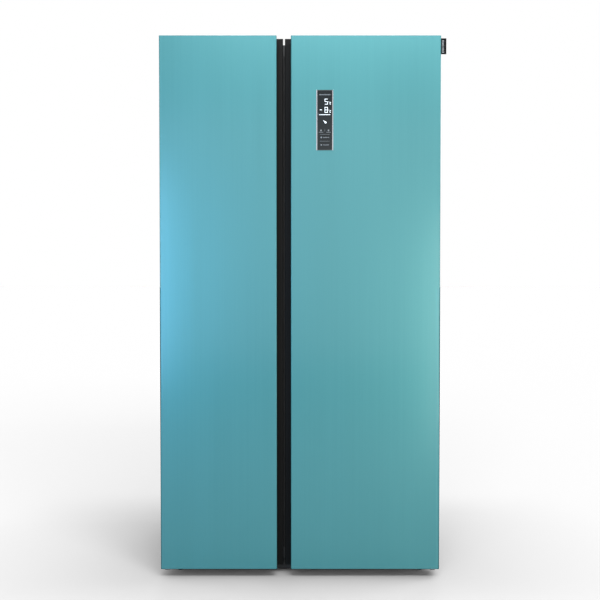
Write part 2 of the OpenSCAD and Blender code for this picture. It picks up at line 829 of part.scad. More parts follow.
// The motors' brackets: a strap on the back wall and a post on the base plate
module fan_motors() {
    strap_t = 3;
    strap_l = 120;
    strap_w = 14;
    post_w = 50;
    post_foot = 25;
    motor_l = 42;
    post_x = condenser_fan_place.x + motor_l;
    color([0.25, 0.25, 0.25]) {
        translate([freezer_mid, freezer_back + fan_setback, fan_z])
            fan_motor(evaporator_room - fan_setback);
        box([freezer_mid - strap_l / 2, in_y1 - strap_t, fan_z - strap_w / 2],
            [freezer_mid + strap_l / 2, in_y1, fan_z + strap_w / 2]);
        translate(condenser_fan_place) rotate(-90) fan_motor(motor_l);
        box([post_x - strap_t, machine_mid_y - post_w / 2, cab_z0 + base_t],
            [post_x, machine_mid_y + post_w / 2, condenser_fan_place.z + post_w / 2]);
        box([post_x - post_foot, machine_mid_y - post_w / 2, cab_z0 + base_t],
            [post_x, machine_mid_y + post_w / 2, cab_z0 + base_t + strap_t]);
    }
}

// A fan that turns about +Y, with its front face at y = 0
module fan(r) {
    blades = 7;
    hub_r = 15;
    blade_t = 1.6;
    pitch_angle = 34;
    rotate([-90, 0, 0]) difference() {
        union() {
            bar(hub_r, 0, fan_t);
            intersection() {
                difference() {
                    bar(r - 3, 0, fan_t);
                    bar(hub_r - 2, -cut, fan_t + cut);
                }
                for (i = [0:blades - 1])
                    rotate(i * 360 / blades) translate([r / 2, 0, fan_t / 2])
                        rotate([pitch_angle, 0, 0]) cube([r, 3 * fan_t, blade_t], center = true);
            }
        }
        bar(shaft_r + running_clearance, 2, fan_t + cut);
    }
}

module evaporator_fan() {
    color("white")
        translate([freezer_mid, freezer_back + fan_setback, fan_z]) fan(evaporator_fan_r);
}

module condenser_fan() {
    color("black") translate(condenser_fan_place) rotate(-90) fan(condenser_fan_r);
}

gland_x = cab_x - 90;
gland_z = cab_z0 + 34;
gland_bore_r = 4;
gland_neck_r = 8;
cover_t = 1.5;

module machine_room_cover() {
    margin = 8;
    rows = 7;
    row_pitch = 18;
    vents_z = 60;
    low_z = cab_z0 + 3;
    high_z = machine_z1 + 14;
    color("silver") difference() {
        box([-cab_x + margin, cab_y1, low_z], [cab_x - margin, cab_y1 + cover_t, high_z]);
        for (side = [-1, 1], row = [0:rows - 1], col = [0:2])
            vent(side * cab_x * (0.28 + col * 0.21), cab_y1, low_z + vents_z + row * row_pitch,
                 cab_x * 0.17, 8);
        translate([gland_x, cab_y1 - cut, gland_z]) rotate([-90, 0, 0])
            bar(gland_neck_r + 0.1, 0, cover_t + 2 * cut);
    }
}

module power_gland() {
    flange_r = 13;
    color([0.1, 0.1, 0.1]) translate([gland_x, cab_y1, gland_z]) rotate([-90, 0, 0]) difference() {
        union() {
            bar(gland_neck_r, -12, cover_t + 1);
            bar(flange_r, cover_t, cover_t + 3);
            bar(flange_r - 1, -8, 0);
            bar(gland_neck_r - 1.5, cover_t + 2, cover_t + 7);
        }
        bar(gland_bore_r, -12 - cut, cover_t + 7 + cut);
    }
}

// ---------------------------------------------------------------- rollers and feet

module roller() {
    tread = 2;
    translate([0, roller_y, roller_r]) rotate([0, 90, 0]) rotate_extrude($fn = 72) polygon([
        [axle_r + running_clearance, -roller_w / 2], [roller_r - tread, -roller_w / 2],
        [roller_r, -roller_w / 2 + tread], [roller_r, roller_w / 2 - tread],
        [roller_r - tread, roller_w / 2], [axle_r + running_clearance, roller_w / 2]]);
}

module rear_roller_left() { color([0.2, 0.2, 0.2]) translate([-roller_x, 0, 0]) roller(); }

module rear_roller_right() { color([0.2, 0.2, 0.2]) translate([roller_x, 0, 0]) roller(); }

// A pad with a rounded foot and a threaded stud, in its highest place
module levelling_foot() {
    pad_h = 9;
    edge = 2.5;
    rotate_extrude($fn = 72) polygon(concat(
        [[0, 0]], arc([foot_r - edge, edge], edge, -90, 0),
        [[foot_r, pad_h], [stud_r + 2, pad_h + 3], [stud_r, pad_h + 3],
         [stud_r, cab_z0 - 2], [stud_r - 1, cab_z0 - 1], [0, cab_z0 - 1]]));
}

module levelling_foot_left() {
    color([0.1, 0.1, 0.1]) translate([-roller_x, foot_y, 0]) levelling_foot();
}

module levelling_foot_right() {
    color([0.1, 0.1, 0.1]) translate([roller_x, foot_y, 0]) levelling_foot();
}

// ---------------------------------------------------------------- doors

module freezer_place() {
    translate([split_x - door_gap / 2, front_y, 0]) mirror([1, 0, 0]) children();
}

module fridge_place() {
    translate([split_x + door_gap / 2, front_y, 0]) children();
}

// The painted sheet: a lip at the free edge, the face, and the hinge side
function panel_outline(w) = concat(
    [[strip_w, lip_d]],
    arc([strip_w + panel_r, panel_r], panel_r, 180, 270),
    arc([w - panel_r, panel_r], panel_r, 270, 360),
    [[w, door_t], [w - sheet_t, door_t]],
    arc([w - panel_r, panel_r], panel_r - sheet_t, 360, 270),
    arc([strip_w + panel_r, panel_r], panel_r - sheet_t, 270, 180),
    [[strip_w + sheet_t, lip_d]]);

// What is inside the sheet, the grip moulding and the liner
function core_outline(w) = concat(
    [[strip_w + sheet_t, lip_d]],
    arc([strip_w + panel_r, panel_r], panel_r - sheet_t, 180, 270),
    arc([w - panel_r, panel_r], panel_r - sheet_t, 270, 360),
    [[w - sheet_t, door_t - liner_t], [grip_wall, door_t - liner_t],
     [grip_wall, grip_depth + grip_wall], [under_u + grip_wall, grip_depth + grip_wall],
     [under_u + grip_wall, lip_d]]);

// The dark moulding that lines the finger recess
function grip_outline() =
    let (inner_r = 6, edge_r = 2.5, lip_r = 1)
    concat(
        [[strip_w, lip_d]],
        arc([strip_w + lip_r, lip_d + grip_wall - lip_r], lip_r, 180, 90),
        arc([under_u - inner_r, lip_d + grip_wall + inner_r], inner_r, -90, 0),
        arc([under_u - inner_r, grip_depth - inner_r], inner_r, 0, 90),
        arc([edge_r, grip_depth + edge_r], edge_r, 270, 180),
        [[0, door_t], [grip_wall, door_t], [grip_wall, grip_depth + grip_wall],
         [under_u + grip_wall, grip_depth + grip_wall], [under_u + grip_wall, lip_d]]);

// The pocket in the door's top that the hinge arm swings in
module hinge_pocket(w) {
    tip = body_w / 2 - pin_x;
    swing = door_open - 90;
    front = tip * tan(swing) + nose_r / cos(swing) + pocket_gap;
    box([w - pin_in - nose_r - pocket_gap, pin_back - front, pocket_z],
        [w + cut, door_t + cut, door_top + cut]);
}

module door_panel(w) {
    difference() {
        upright(door_bottom, door_top) polygon(panel_outline(w));
        hinge_pocket(w);
    }
}

module freezer_door_panel() {
    color([0.36, 0.66, 0.69]) freezer_place() door_panel(freezer_door_w);
}

module fridge_door_panel() {
    color([0.36, 0.66, 0.69]) fridge_place() difference() {
        door_panel(fridge_door_w);
        display_body(0.3, -cut, 3 * cut);
    }
}

// The raised ring on a door's inside, drafted on both sides and set in by inset
module dyke(u, inset) {
    low = [u[0] + dyke_clear, door_t - liner_t, in_z0 + dyke_clear];
    high = [u[1] - dyke_clear, door_t + dyke_h - inset, in_z1 - dyke_clear];
    difference() {
        hull() {
            ring_slice(low, high, low.y, inset);
            ring_slice(low, high, high.y - eps, inset + dyke_draft);
        }
        hull() {
            ring_slice(low, high, low.y - cut, dyke_base_w - inset);
            ring_slice(low, high, high.y + cut, dyke_top_w + dyke_draft - inset);
        }
    }
}

module ring_slice(low, high, y, inset) {
    box([low.x + inset, y, low.z + inset], [high.x - inset, y + eps, high.z - inset]);
}

module door_core(w, u) {
    upright(door_bottom + cap_bottom_h, door_top - cap_top_h) polygon(core_outline(w));
    dyke(u, liner_t);
}

module freezer_door_foam() {
    color("wheat") freezer_place() door_core(freezer_door_w, freezer_u);
}

module fridge_door_foam() {
    color("wheat") fridge_place() difference() {
        door_core(fridge_door_w, fridge_u);
        display_body(0.2, -cut, bezel_deep + 0.2);
    }
}

module door_liner(w, u) {
    difference() {
        union() {
            box([grip_wall, door_t - liner_t, door_bottom], [w - sheet_t, door_t, door_top]);
            dyke(u, 0);
            for (i = [1:bin_count]) bin_lugs(u, bin_z(i) + bin_h - rim_t);
        }
        dyke(u, liner_t);
        hinge_pocket(w);
    }
}

// The two lugs on the ring's inner sides that a bin's rim rests on, with their tops at z
module bin_lugs(u, z) {
    lug_gap = 1.5;   // between a lug and the bin's end
    for (side = [-1, 1]) {
        foot_u = side < 0 ? u[0] + dyke_clear : u[1] - dyke_clear;
        a = foot_u - side * (dyke_base_w - dyke_draft - 1);
        b = foot_u - side * (dyke_base_w + bin_clear - lug_gap);
        box([min(a, b), door_t + 4, z - lug_h], [max(a, b), door_t + dyke_h - 8, z]);
    }
}

module freezer_door_liner() {
    color("white") freezer_place() door_liner(freezer_door_w, freezer_u);
}

module fridge_door_liner() {
    color("white") fridge_place() door_liner(fridge_door_w, fridge_u);
}

module door_gasket(w) {
    low = [gasket_free, door_t, cab_z0 + gasket_low];
    high = [w - gasket_hinge, door_t + gasket_t, cab_z1 - gasket_high];
    difference() {
        box(low, high);
        box([low.x + gasket_w, low.y - cut, low.z + gasket_w],
            [high.x - gasket_w, high.y + cut, high.z - gasket_w]);
    }
}

module freezer_door_gasket() {
    color("lightgray") freezer_place() door_gasket(freezer_door_w);
}

module fridge_door_gasket() {
    color("lightgray") fridge_place() door_gasket(fridge_door_w);
}

module door_handle() {
    upright(door_bottom, door_top) polygon(grip_outline());
}

module freezer_door_handle() { color([0.12, 0.12, 0.12]) freezer_place() door_handle(); }

module fridge_door_handle() { color([0.12, 0.12, 0.12]) fridge_place() door_handle(); }

// The two end caps, each with a blind bore for its hinge pin
module door_caps(w) {
    bore_r = pin_r + running_clearance;
    difference() {
        upright(door_top - cap_top_h, door_top) polygon(core_outline(w));
        hinge_pocket(w);
        translate([w - pin_in, pin_back, 0])
            bar(bore_r, pocket_z - pin_engage - bore_spare, pocket_z + cut);
    }
    difference() {
        upright(door_bottom, door_bottom + cap_bottom_h) polygon(core_outline(w));
        translate([w - pin_in, pin_back, 0])
            bar(bore_r, door_bottom - cut, door_bottom + pin_engage + bore_spare);
    }
}

module freezer_door_caps() {
    color([0.2, 0.2, 0.2]) freezer_place() door_caps(freezer_door_w);
}

module fridge_door_caps() {
    color([0.2, 0.2, 0.2]) fridge_place() door_caps(fridge_door_w);
}

// ---------------------------------------------------------------- door bins

bin_low = in_z0 + dyke_clear + dyke_base_w + 6;
bin_pitch = (in_z1 - dyke_clear - dyke_base_w - bin_low) / bin_count;
function bin_z(i) = bin_low + (i - 1) * bin_pitch;

module door_bin(u, i) {
    z = bin_z(i);
    end = dyke_clear + dyke_base_w + bin_clear;
    low = [u[0] + end, door_t + bin_back];
    high = [u[1] - end, door_t + bin_d];
    wall = [tub_wall, tub_wall];
    front_r = 22;
    back_r = 4;
    difference() {
        union() {
            upright(z, z + bin_h) polygon(rounded(low, high, back_r, front_r));
            upright(z + bin_h - rim_t, z + bin_h)
                polygon(rounded(low - [bin_rim, 0], [high.x + bin_rim, door_t + dyke_h], 1, 8));
        }
        upright(z + tub_wall, z + bin_h + cut)
            polygon(rounded(low + wall, high - wall, back_r - 1, front_r - tub_wall));
    }
}

module freezer_bin(i) {
    color([0.85, 0.93, 0.97, 0.6]) freezer_place() door_bin(freezer_u, i);
}

module fridge_bin(i) {
    color([0.85, 0.93, 0.97, 0.6]) fridge_place() door_bin(fridge_u, i);
}

// ---------------------------------------------------------------- display and label

// The part of the bezel that is inside the door, grown by extra all round
module display_body(extra, t0, t1) {
    box([display_u + bezel_flange - extra, t0, display_z1 - display_h + bezel_flange - extra],
        [display_u + display_w - bezel_flange + extra, t1, display_z1 - bezel_flange + extra]);
}

module display_window(inset, t0, t1) {
    end = bezel_flange + bezel_end + inset;
    side = bezel_side + inset;
    box([display_u + side, t0, display_z1 - display_h + end],
        [display_u + display_w - side, t1, display_z1 - end]);
}

module display_bezel() {
    floor_t = 1;
    color("silver") fridge_place() difference() {
        union() {
            box([display_u, -bezel_proud, display_z1 - display_h],
                [display_u + display_w, 0, display_z1]);
            display_body(0, -bezel_proud / 2, bezel_deep);
        }
        display_window(0, -bezel_proud - cut, bezel_deep - floor_t);
    }
}

module display_glass() {
    color([0.13, 0.14, 0.16]) fridge_place() display_window(0, -0.5, glass_back);
}

module display_board() {
    color("green") fridge_place() {
        display_window(2, 5, 6.6);
        for (k = [0.2, 0.45, 0.78])
            translate([display_u + display_w / 2, 6.5, display_z1 - display_h * k])
                cube([18, 1.6, 14], center = true);
        // light box behind the digits
        display_low = display_z1 - display_h * 0.4;
        box([display_u + 10, glass_back, display_low],
            [display_u + display_w - 10, 5.2, display_low + 50]);
    }
}

// A small woven tab that stands out from the fridge door's edge
module side_label() {
    tab_out = 17.5;
    tab_t = 1;
    tab_back = 6;
    glued = 14;
    z1 = door_top - 8;
    z0 = z1 - 51;
    color([0.05, 0.05, 0.05]) fridge_place() {
        box([fridge_door_w, tab_back, z0], [fridge_door_w + tab_out, tab_back + tab_t, z1]);
        box([fridge_door_w, tab_back, z0],
            [fridge_door_w + tab_t, tab_back + glued, pocket_z - 1]);
    }
}

// ---------------------------------------------------------------- nodes

cabinet_shell();
back_panel();
bottom_board();
base_plate();
cabinet_foam();
freezer_liner();
fridge_liner();
mullion_plate();
kick_plate();
top_hinges();
bottom_hinges();
hinge_covers();
control_box_lid();
control_board();
freezer_shelves();
fridge_shelves();
freezer_duct_cover();
fridge_duct_cover();
evaporator();
compressor();
condenser();
drain_pan();
fan_motors();
machine_room_cover();
lamp_covers();
power_gland();
evaporator_fan();
condenser_fan();
rear_roller_left();
rear_roller_right();
levelling_foot_left();
levelling_foot_right();
freezer_drawer_upper();
freezer_drawer_lower();
crisper_drawer_upper();
crisper_drawer_lower();
freezer_door_panel();
freezer_door_foam();
freezer_door_liner();
freezer_door_gasket();
freezer_door_handle();
freezer_door_caps();
fridge_door_panel();
fridge_door_foam();
fridge_door_liner();
fridge_door_gasket();
fridge_door_handle();
fridge_door_caps();
display_bezel();
display_glass();
display_board();
side_label();
for (i = [1:bin_count]) {
    freezer_bin(i);
    fridge_bin(i);
}
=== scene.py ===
import json
import math

import bmesh
import bpy
from mathutils import Matrix, Vector


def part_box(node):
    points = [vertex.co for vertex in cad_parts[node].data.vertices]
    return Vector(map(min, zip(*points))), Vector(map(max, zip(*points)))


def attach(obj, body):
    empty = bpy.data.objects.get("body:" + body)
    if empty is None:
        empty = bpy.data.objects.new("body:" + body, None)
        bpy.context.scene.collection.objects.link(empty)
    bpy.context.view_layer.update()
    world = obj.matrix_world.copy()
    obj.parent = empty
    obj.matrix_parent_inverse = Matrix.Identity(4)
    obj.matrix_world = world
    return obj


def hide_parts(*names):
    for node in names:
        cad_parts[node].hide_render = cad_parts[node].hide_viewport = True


# A side by side refrigerator. Metres, +Z up, the front looks along -Y.

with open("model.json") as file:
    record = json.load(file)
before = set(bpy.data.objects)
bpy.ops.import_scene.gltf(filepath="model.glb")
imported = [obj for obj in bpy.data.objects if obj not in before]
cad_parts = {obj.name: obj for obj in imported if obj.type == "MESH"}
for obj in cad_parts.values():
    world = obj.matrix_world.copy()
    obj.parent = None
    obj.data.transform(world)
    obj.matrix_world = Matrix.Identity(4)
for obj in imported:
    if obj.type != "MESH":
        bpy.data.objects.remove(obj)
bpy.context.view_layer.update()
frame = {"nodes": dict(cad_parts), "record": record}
nodes = frame["nodes"]
MM = 0.001


def corner(node):
    """The lowest and the highest corner of a CAD node."""
    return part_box(node)


FRONT = corner("freezer_door_panel")[0].y
cabinet_low, cabinet_high = corner("cabinet_shell")


# ------------------------------------------------------------------ camera

def make_camera():
    """Straight at the doors, at eye level for someone sitting, tipped down a little."""
    distance, height, tip_deg = 2.98, 1.0, 1.684
    data = bpy.data.cameras.new("camera")
    camera = bpy.data.objects.new("camera", data)
    bpy.context.scene.collection.objects.link(camera)
    camera.location = (0, FRONT - distance, height)
    camera.rotation_euler = (math.radians(90 - tip_deg), 0, 0)
    data.sensor_width = 36
    data.lens = 55.02
    data.clip_end = 100
    bpy.context.scene.camera = camera


make_camera()


# ------------------------------------------------------------------ node helpers

class Nodes:
    """Builds one procedural material, node by node."""

    def __init__(self, name):
        self.material = bpy.data.materials.new(name)
        self.material.use_nodes = True
        self.tree = self.material.node_tree
        self.shader = self.tree.nodes["Principled BSDF"]
        self.place = self.new("ShaderNodeTexCoord").outputs["Object"]

    def new(self, kind, **settings):
        node = self.tree.nodes.new(kind)
        for key, value in settings.items():
            setattr(node, key, value)
        return node

    def join(self, source, target):
        self.tree.links.new(source, target)

    def stretched(self, scale):
        """The place on the object, scaled by a different amount along each axis."""
        mapping = self.new("ShaderNodeMapping")
        mapping.inputs["Scale"].default_value = scale
        self.join(self.place, mapping.inputs["Vector"])
        return mapping.outputs["Vector"]

    def noise(self, scale, stretch=(1, 1, 1), detail=4.0):
        node = self.new("ShaderNodeTexNoise")
        node.inputs["Scale"].default_value = scale
        node.inputs["Detail"].default_value = detail
        node.inputs["Roughness"].default_value = 0.55
        self.join(self.stretched(stretch), node.inputs["Vector"])
        return node.outputs["Fac"]

    def cells(self, scale):
        node = self.new("ShaderNodeTexVoronoi")
        node.inputs["Scale"].default_value = scale
        self.join(self.place, node.inputs["Vector"])
        return node.outputs["Distance"]

    def wave(self, scale, axis, distortion):
        node = self.new("ShaderNodeTexWave", bands_direction=axis)
        node.inputs["Scale"].default_value = scale
        node.inputs["Distortion"].default_value = distortion
        self.join(self.place, node.inputs["Vector"])
        return node.outputs["Fac"]

    def blend(self, factor, low, high):
        """A colour ramp from low to high as factor goes from 0.3 to 0.7, where noise mostly lies."""
        ramp = self.new("ShaderNodeValToRGB")
        ramp.color_ramp.elements[0].position = 0.3
        ramp.color_ramp.elements[0].color = (*low, 1)
        ramp.color_ramp.elements[1].position = 0.7
        ramp.color_ramp.elements[1].color = (*high, 1)
        self.join(factor, ramp.inputs["Fac"])
        return ramp.outputs["Color"]

    def span(self, factor, low, high):
        """Maps factor from 0.3-0.7 to low-high, as blend does for colours."""
        node = self.new("ShaderNodeMapRange")
        node.inputs["From Min"].default_value = 0.3
        node.inputs["From Max"].default_value = 0.7
        node.inputs["To Min"].default_value = low
        node.inputs["To Max"].default_value = high
        self.join(factor, node.inputs["Value"])
        return node.outputs["Result"]

    def bump(self, height, depth, strength=1.0, under=None):
        node = self.new("ShaderNodeBump")
        node.inputs["Strength"].default_value = strength
        node.inputs["Distance"].default_value = depth
        self.join(height, node.inputs["Height"])
        if under is not None:
            self.join(under, node.inputs["Normal"])
        return node.outputs["Normal"]

    def finish(self, colour=None, rough=None, normal=None, **fixed):
        sockets = self.shader.inputs
        if colour is not None:
            self.join(colour, sockets["Base Color"])
        if rough is not None:
            self.join(rough, sockets["Roughness"])
        if normal is not None:
            self.join(normal, sockets["Normal"])
        for name, value in fixed.items():
            sockets[name.replace("_", " ")].default_value = value
        return self.material


# ------------------------------------------------------------------ materials

def moulded_plastic(name, low, high, rough=(0.38, 0.5), grain=900, depth=0.03 * MM, **fixed):
    """Spark-eroded plastic: fine grain, slightly uneven colour and gloss."""
    n = Nodes(name)
    cloud = n.noise(6, detail=3)
    colour = n.blend(cloud, low, high)
    normal = n.bump(n.noise(grain, detail=2), depth, 0.5)
    return n.finish(colour, n.span(n.noise(35), *rough), normal, **fixed)


def door_film():
    """Coated steel of the doors: a satin metallic film with a faint upright brushing."""
    n = Nodes("door_film")
    streak = n.noise(1.0, stretch=(240, 240, 0.9), detail=3)
    cloud = n.noise(1.6, stretch=(2.2, 1, 0.5), detail=2)
    mixed = n.new("ShaderNodeMath", operation="ADD")
    n.join(streak, mixed.inputs[0])
    n.join(cloud, mixed.inputs[1])
    half = n.new("ShaderNodeMath", operation="MULTIPLY")
    half.inputs[1].default_value = 0.5
    n.join(mixed.outputs[0], half.inputs[0])
    colour = n.blend(half.outputs[0], (0.070, 0.322, 0.352), (0.080, 0.346, 0.376))
    rough = n.span(n.noise(1.0, stretch=(30, 30, 0.6), detail=4), 0.34, 0.42)
    fine = n.bump(n.noise(1.0, stretch=(900, 900, 6), detail=2), 0.008 * MM, 0.5)
    wavy = n.bump(n.noise(3.0, stretch=(3, 1, 0.35), detail=1), 0.25 * MM, 0.3, fine)
    return n.finish(colour, rough, wavy, Metallic=0.35, Coat_Weight=1.0, Coat_Roughness=0.16)


def cabinet_paint():
    """Powder coat with its orange peel."""
    n = Nodes("cabinet_paint")
    colour = n.blend(n.noise(5, detail=3), (0.085, 0.088, 0.092), (0.105, 0.108, 0.112))
    peel = n.bump(n.noise(420, detail=2), 0.06 * MM, 0.45)
    return n.finish(colour, n.span(n.noise(40), 0.36, 0.46), peel, Metallic=0.3)


def galvanised():
    """Zinc-coated sheet with its spangle."""
    n = Nodes("galvanised")
    spangle = n.new("ShaderNodeTexVoronoi")
    spangle.inputs["Scale"].default_value = 130
    n.join(n.place, spangle.inputs["Vector"])
    grey = n.new("ShaderNodeRGBToBW")
    n.join(spangle.outputs["Color"], grey.inputs[0])
    colour = n.blend(grey.outputs[0], (0.50, 0.51, 0.52), (0.58, 0.59, 0.60))
    rough = n.span(grey.outputs[0], 0.36, 0.44)
    return n.finish(colour, rough, n.bump(n.noise(300), 0.02 * MM, 0.4), Metallic=0.9)


def brushed_metal(name, low, high, stretch, rough=(0.22, 0.36)):
    """Metal brushed along the axis that has the smallest stretch."""
    n = Nodes(name)
    grain = n.noise(1.0, stretch=stretch, detail=3)
    normal = n.bump(n.noise(1.0, stretch=[s * 2 for s in stretch], detail=2), 0.01 * MM, 0.6)
    return n.finish(n.blend(grain, low, high), n.span(grain, *rough), normal, Metallic=1.0)


def extruded_grip():
    """Black extrusion with the die lines that run along it."""
    n = Nodes("grip_extrusion")
    lines = n.noise(1.0, stretch=(700, 700, 0.8), detail=2)
    colour = n.blend(n.noise(1.0, stretch=(60, 60, 2)), (0.005, 0.005, 0.005), (0.008, 0.008, 0.008))
    normal = n.bump(lines, 0.03 * MM, 0.5)
    return n.finish(colour, n.span(lines, 0.34, 0.46), normal, Specular_IOR_Level=0.15)


def foam():
    """Rigid foam, buff, with its fine open cells."""
    n = Nodes("insulation_foam")
    cells = n.cells(700)
    colour = n.blend(n.noise(25), (0.70, 0.60, 0.36), (0.80, 0.70, 0.46))
    return n.finish(colour, n.span(cells, 0.75, 0.95), n.bump(cells, 0.4 * MM, 0.6))


def clear_plastic():
    """Injection-moulded clear polystyrene with a faint blue cast."""
    n = Nodes("clear_tub")
    colour = n.blend(n.noise(8), (0.90, 0.95, 0.97), (0.96, 0.99, 1.0))
    rough = n.span(n.noise(22, detail=5), 0.03, 0.12)
    normal = n.bump(n.noise(14, detail=1), 0.15 * MM, 0.25)
    return n.finish(colour, rough, normal, Transmission_Weight=0.78, IOR=1.4)


def shelf_pane():
    """Toughened glass, greener where one looks along the pane."""
    n = Nodes("shelf_pane")
    facing = n.new("ShaderNodeLayerWeight")
    facing.inputs["Blend"].default_value = 0.25
    colour = n.blend(facing.outputs["Facing"], (0.93, 0.98, 0.96), (0.55, 0.82, 0.72))
    rough = n.span(n.noise(30), 0.01, 0.05)
    return n.finish(colour, rough, Transmission_Weight=0.95, IOR=1.52)


def display_pane():
    """Smoked glass of the display with a very fine silkscreen under it."""
    n = Nodes("display_pane")
    cloud = n.noise(20, stretch=(1, 1, 0.4))
    colour = n.blend(cloud, (0.016, 0.021, 0.024), (0.022, 0.027, 0.030))
    dots = n.bump(n.noise(1500, detail=1), 0.004 * MM, 0.3)
    return n.finish(colour, n.span(cloud, 0.10, 0.16), dots, IOR=1.45)


def lit_symbols(name, colour, strength):
    """Segments of the display, a little uneven in brightness as behind a diffuser."""
    n = Nodes(name)
    glow = n.span(n.noise(260, detail=2), 0.85 * strength, 1.1 * strength)
    n.join(glow, n.shader.inputs["Emission Strength"])
    tint = n.blend(n.noise(120), [0.92 * c for c in colour], colour)
    n.join(tint, n.shader.inputs["Emission Color"])
    return n.finish(tint, n.span(n.noise(90), 0.4, 0.6))


def seal_rubber():
    """Grey soft vinyl of the seals."""
    n = Nodes("seal_rubber")
    colour = n.blend(n.noise(18), (0.33, 0.34, 0.35), (0.40, 0.41, 0.42))
    return n.finish(colour, n.span(n.noise(60), 0.5, 0.68), n.bump(n.noise(800), 0.03 * MM, 0.5))


def enamel():
    """Black stove enamel of the compressor's shell."""
    n = Nodes("black_enamel")
    colour = n.blend(n.noise(30), (0.010, 0.010, 0.011), (0.022, 0.022, 0.023))
    return n.finish(colour, n.span(n.noise(55), 0.16, 0.34), n.bump(n.noise(260), 0.08 * MM, 0.35),
                    Coat_Weight=0.3)


def board_laminate():
    """Green solder mask with its copper traces showing through."""
    n = Nodes("board_laminate")
    traces = n.new("ShaderNodeTexBrick")
    traces.inputs["Scale"].default_value = 90
    traces.inputs["Color1"].default_value = (0.010, 0.115, 0.045, 1)
    traces.inputs["Color2"].default_value = (0.014, 0.150, 0.060, 1)
    traces.inputs["Mortar"].default_value = (0.030, 0.240, 0.100, 1)
    traces.inputs["Mortar Size"].default_value = 0.03
    n.join(n.place, traces.inputs["Vector"])
    return n.finish(traces.outputs["Color"], n.span(n.noise(80), 0.25, 0.4),
                    n.bump(traces.outputs["Fac"], 0.03 * MM, 0.5))


def fin_stock():
    """Bare aluminium of the finned coil, dulled in patches."""
    n = Nodes("fin_stock")
    frost = n.noise(40, detail=6)
    colour = n.blend(frost, (0.62, 0.63, 0.65), (0.80, 0.81, 0.83))
    return n.finish(colour, n.span(frost, 0.25, 0.42), n.bump(frost, 0.05 * MM, 0.4), Metallic=1.0)


def woven(name, low, high):
    """Narrow satin weave: warp and weft cross in a fine grid."""
    n = Nodes(name)
    uneven = 0.6
    warp = n.wave(420, "Z", uneven)
    weft = n.wave(260, "X", uneven)
    cross = n.new("ShaderNodeMath", operation="MAXIMUM")
    n.join(warp, cross.inputs[0])
    n.join(weft, cross.inputs[1])
    colour = n.blend(cross.outputs[0], low, high)
    return n.finish(colour, n.span(cross.outputs[0], 0.7, 0.9),
                    n.bump(cross.outputs[0], 0.12 * MM, 0.7), Specular_IOR_Level=0.15)


MATERIALS = {
    "cabinet_paint": cabinet_paint(),
    "door_coat": door_film(),
    "galvanised": galvanised(),
    # The mullion's paint is darkened close to black so that the slot between the doors shows painted
    # shade.
    "mullion": moulded_plastic("mullion_paint_and_painted_shade", (0.045, 0.046, 0.048), (0.06, 0.061, 0.063), (0.5, 0.6)),
    "foam": foam(),
    "liner": moulded_plastic("liner_sheet", (0.80, 0.82, 0.83), (0.86, 0.87, 0.88), (0.28, 0.38), 500),
    "white_trim": moulded_plastic("white_trim", (0.74, 0.77, 0.79), (0.82, 0.84, 0.86)),
    "dark_trim": moulded_plastic("dark_trim", (0.026, 0.027, 0.029), (0.040, 0.041, 0.043)),
    "grip_black": extruded_grip(),
    "caps_grey": moulded_plastic("cap_plastic", (0.055, 0.058, 0.060), (0.075, 0.078, 0.080)),
    "clear_tub": clear_plastic(),
    "shelf_glass": shelf_pane(),
    "display_glass": display_pane(),
    "bezel": brushed_metal("bezel_metal", (0.62, 0.66, 0.70), (0.74, 0.78, 0.82), (500, 500, 4)),
    "circuit_board": board_laminate(),
    "bare_aluminium": fin_stock(),
    "black_enamel": enamel(),
    "motor": moulded_plastic("motor_case", (0.045, 0.045, 0.047), (0.070, 0.070, 0.072), (0.3, 0.42)),
    "gasket": seal_rubber(),
    "foot_plastic": moulded_plastic("foot_plastic", (0.018, 0.018, 0.019), (0.030, 0.030, 0.031)),
    "label_weave": woven("label_weave", (0.003, 0.003, 0.003), (0.008, 0.008, 0.008)),
    "hinge_steel": brushed_metal("hinge_steel", (0.48, 0.49, 0.50), (0.62, 0.63, 0.64), (400, 12, 400)),
}
THREAD = woven("label_thread", (0.70, 0.72, 0.76), (0.86, 0.88, 0.90))
CHROME = brushed_metal("trim_chrome", (0.70, 0.71, 0.73), (0.80, 0.81, 0.83), (6, 500, 500), (0.12, 0.2))
COPPER = brushed_metal("copper_pipe", (0.80, 0.38, 0.22), (0.92, 0.50, 0.32), (200, 200, 200))
DIGITS = lit_symbols("digit_light", (0.88, 0.95, 1.0), 0.8)
# The faint marks are print given a small emission: a painted glow, though they are no lamp.
FAINT_PAINTED_GLOW = lit_symbols("print_with_painted_glow", (0.30, 0.33, 0.36), 0.12)
LAMP = lit_symbols("lamp_lens", (1.0, 0.97, 0.92), 2.5)

# Which material each carried-over CAD node takes, by the record's slots
SLOT_OF = {
    "cabinet_paint": ["cabinet_shell"],
    "door_coat": ["freezer_door_panel", "fridge_door_panel"],
    "galvanised": ["back_panel", "bottom_board", "base_plate", "machine_room_cover"],
    "mullion": ["mullion_plate"],
    "foam": ["cabinet_foam", "freezer_door_foam", "fridge_door_foam"],
    "liner": ["freezer_liner", "fridge_liner", "freezer_door_liner", "fridge_door_liner"],
    "white_trim": ["freezer_duct_cover", "fridge_duct_cover", "evaporator_fan", "lamp_covers"],
    "dark_trim": ["kick_plate", "hinge_covers", "control_box_lid", "drain_pan", "power_gland",
                  "condenser_fan"],
    "grip_black": ["freezer_door_handle", "fridge_door_handle"],
    "caps_grey": ["freezer_door_caps", "fridge_door_caps"],
    "shelf_glass": ["freezer_shelves", "fridge_shelves"],
    "display_glass": ["display_glass"],
    "bezel": ["display_bezel"],
    "circuit_board": ["control_board", "display_board"],
    "bare_aluminium": ["evaporator"],
    "black_enamel": ["compressor", "condenser"],
    "motor": ["fan_motors"],
    "gasket": ["freezer_door_gasket", "fridge_door_gasket"],
    "foot_plastic": ["levelling_foot_left", "levelling_foot_right", "rear_roller_left",
                     "rear_roller_right"],
    "label_weave": ["side_label"],
    "hinge_steel": ["top_hinges", "bottom_hinges"],
}
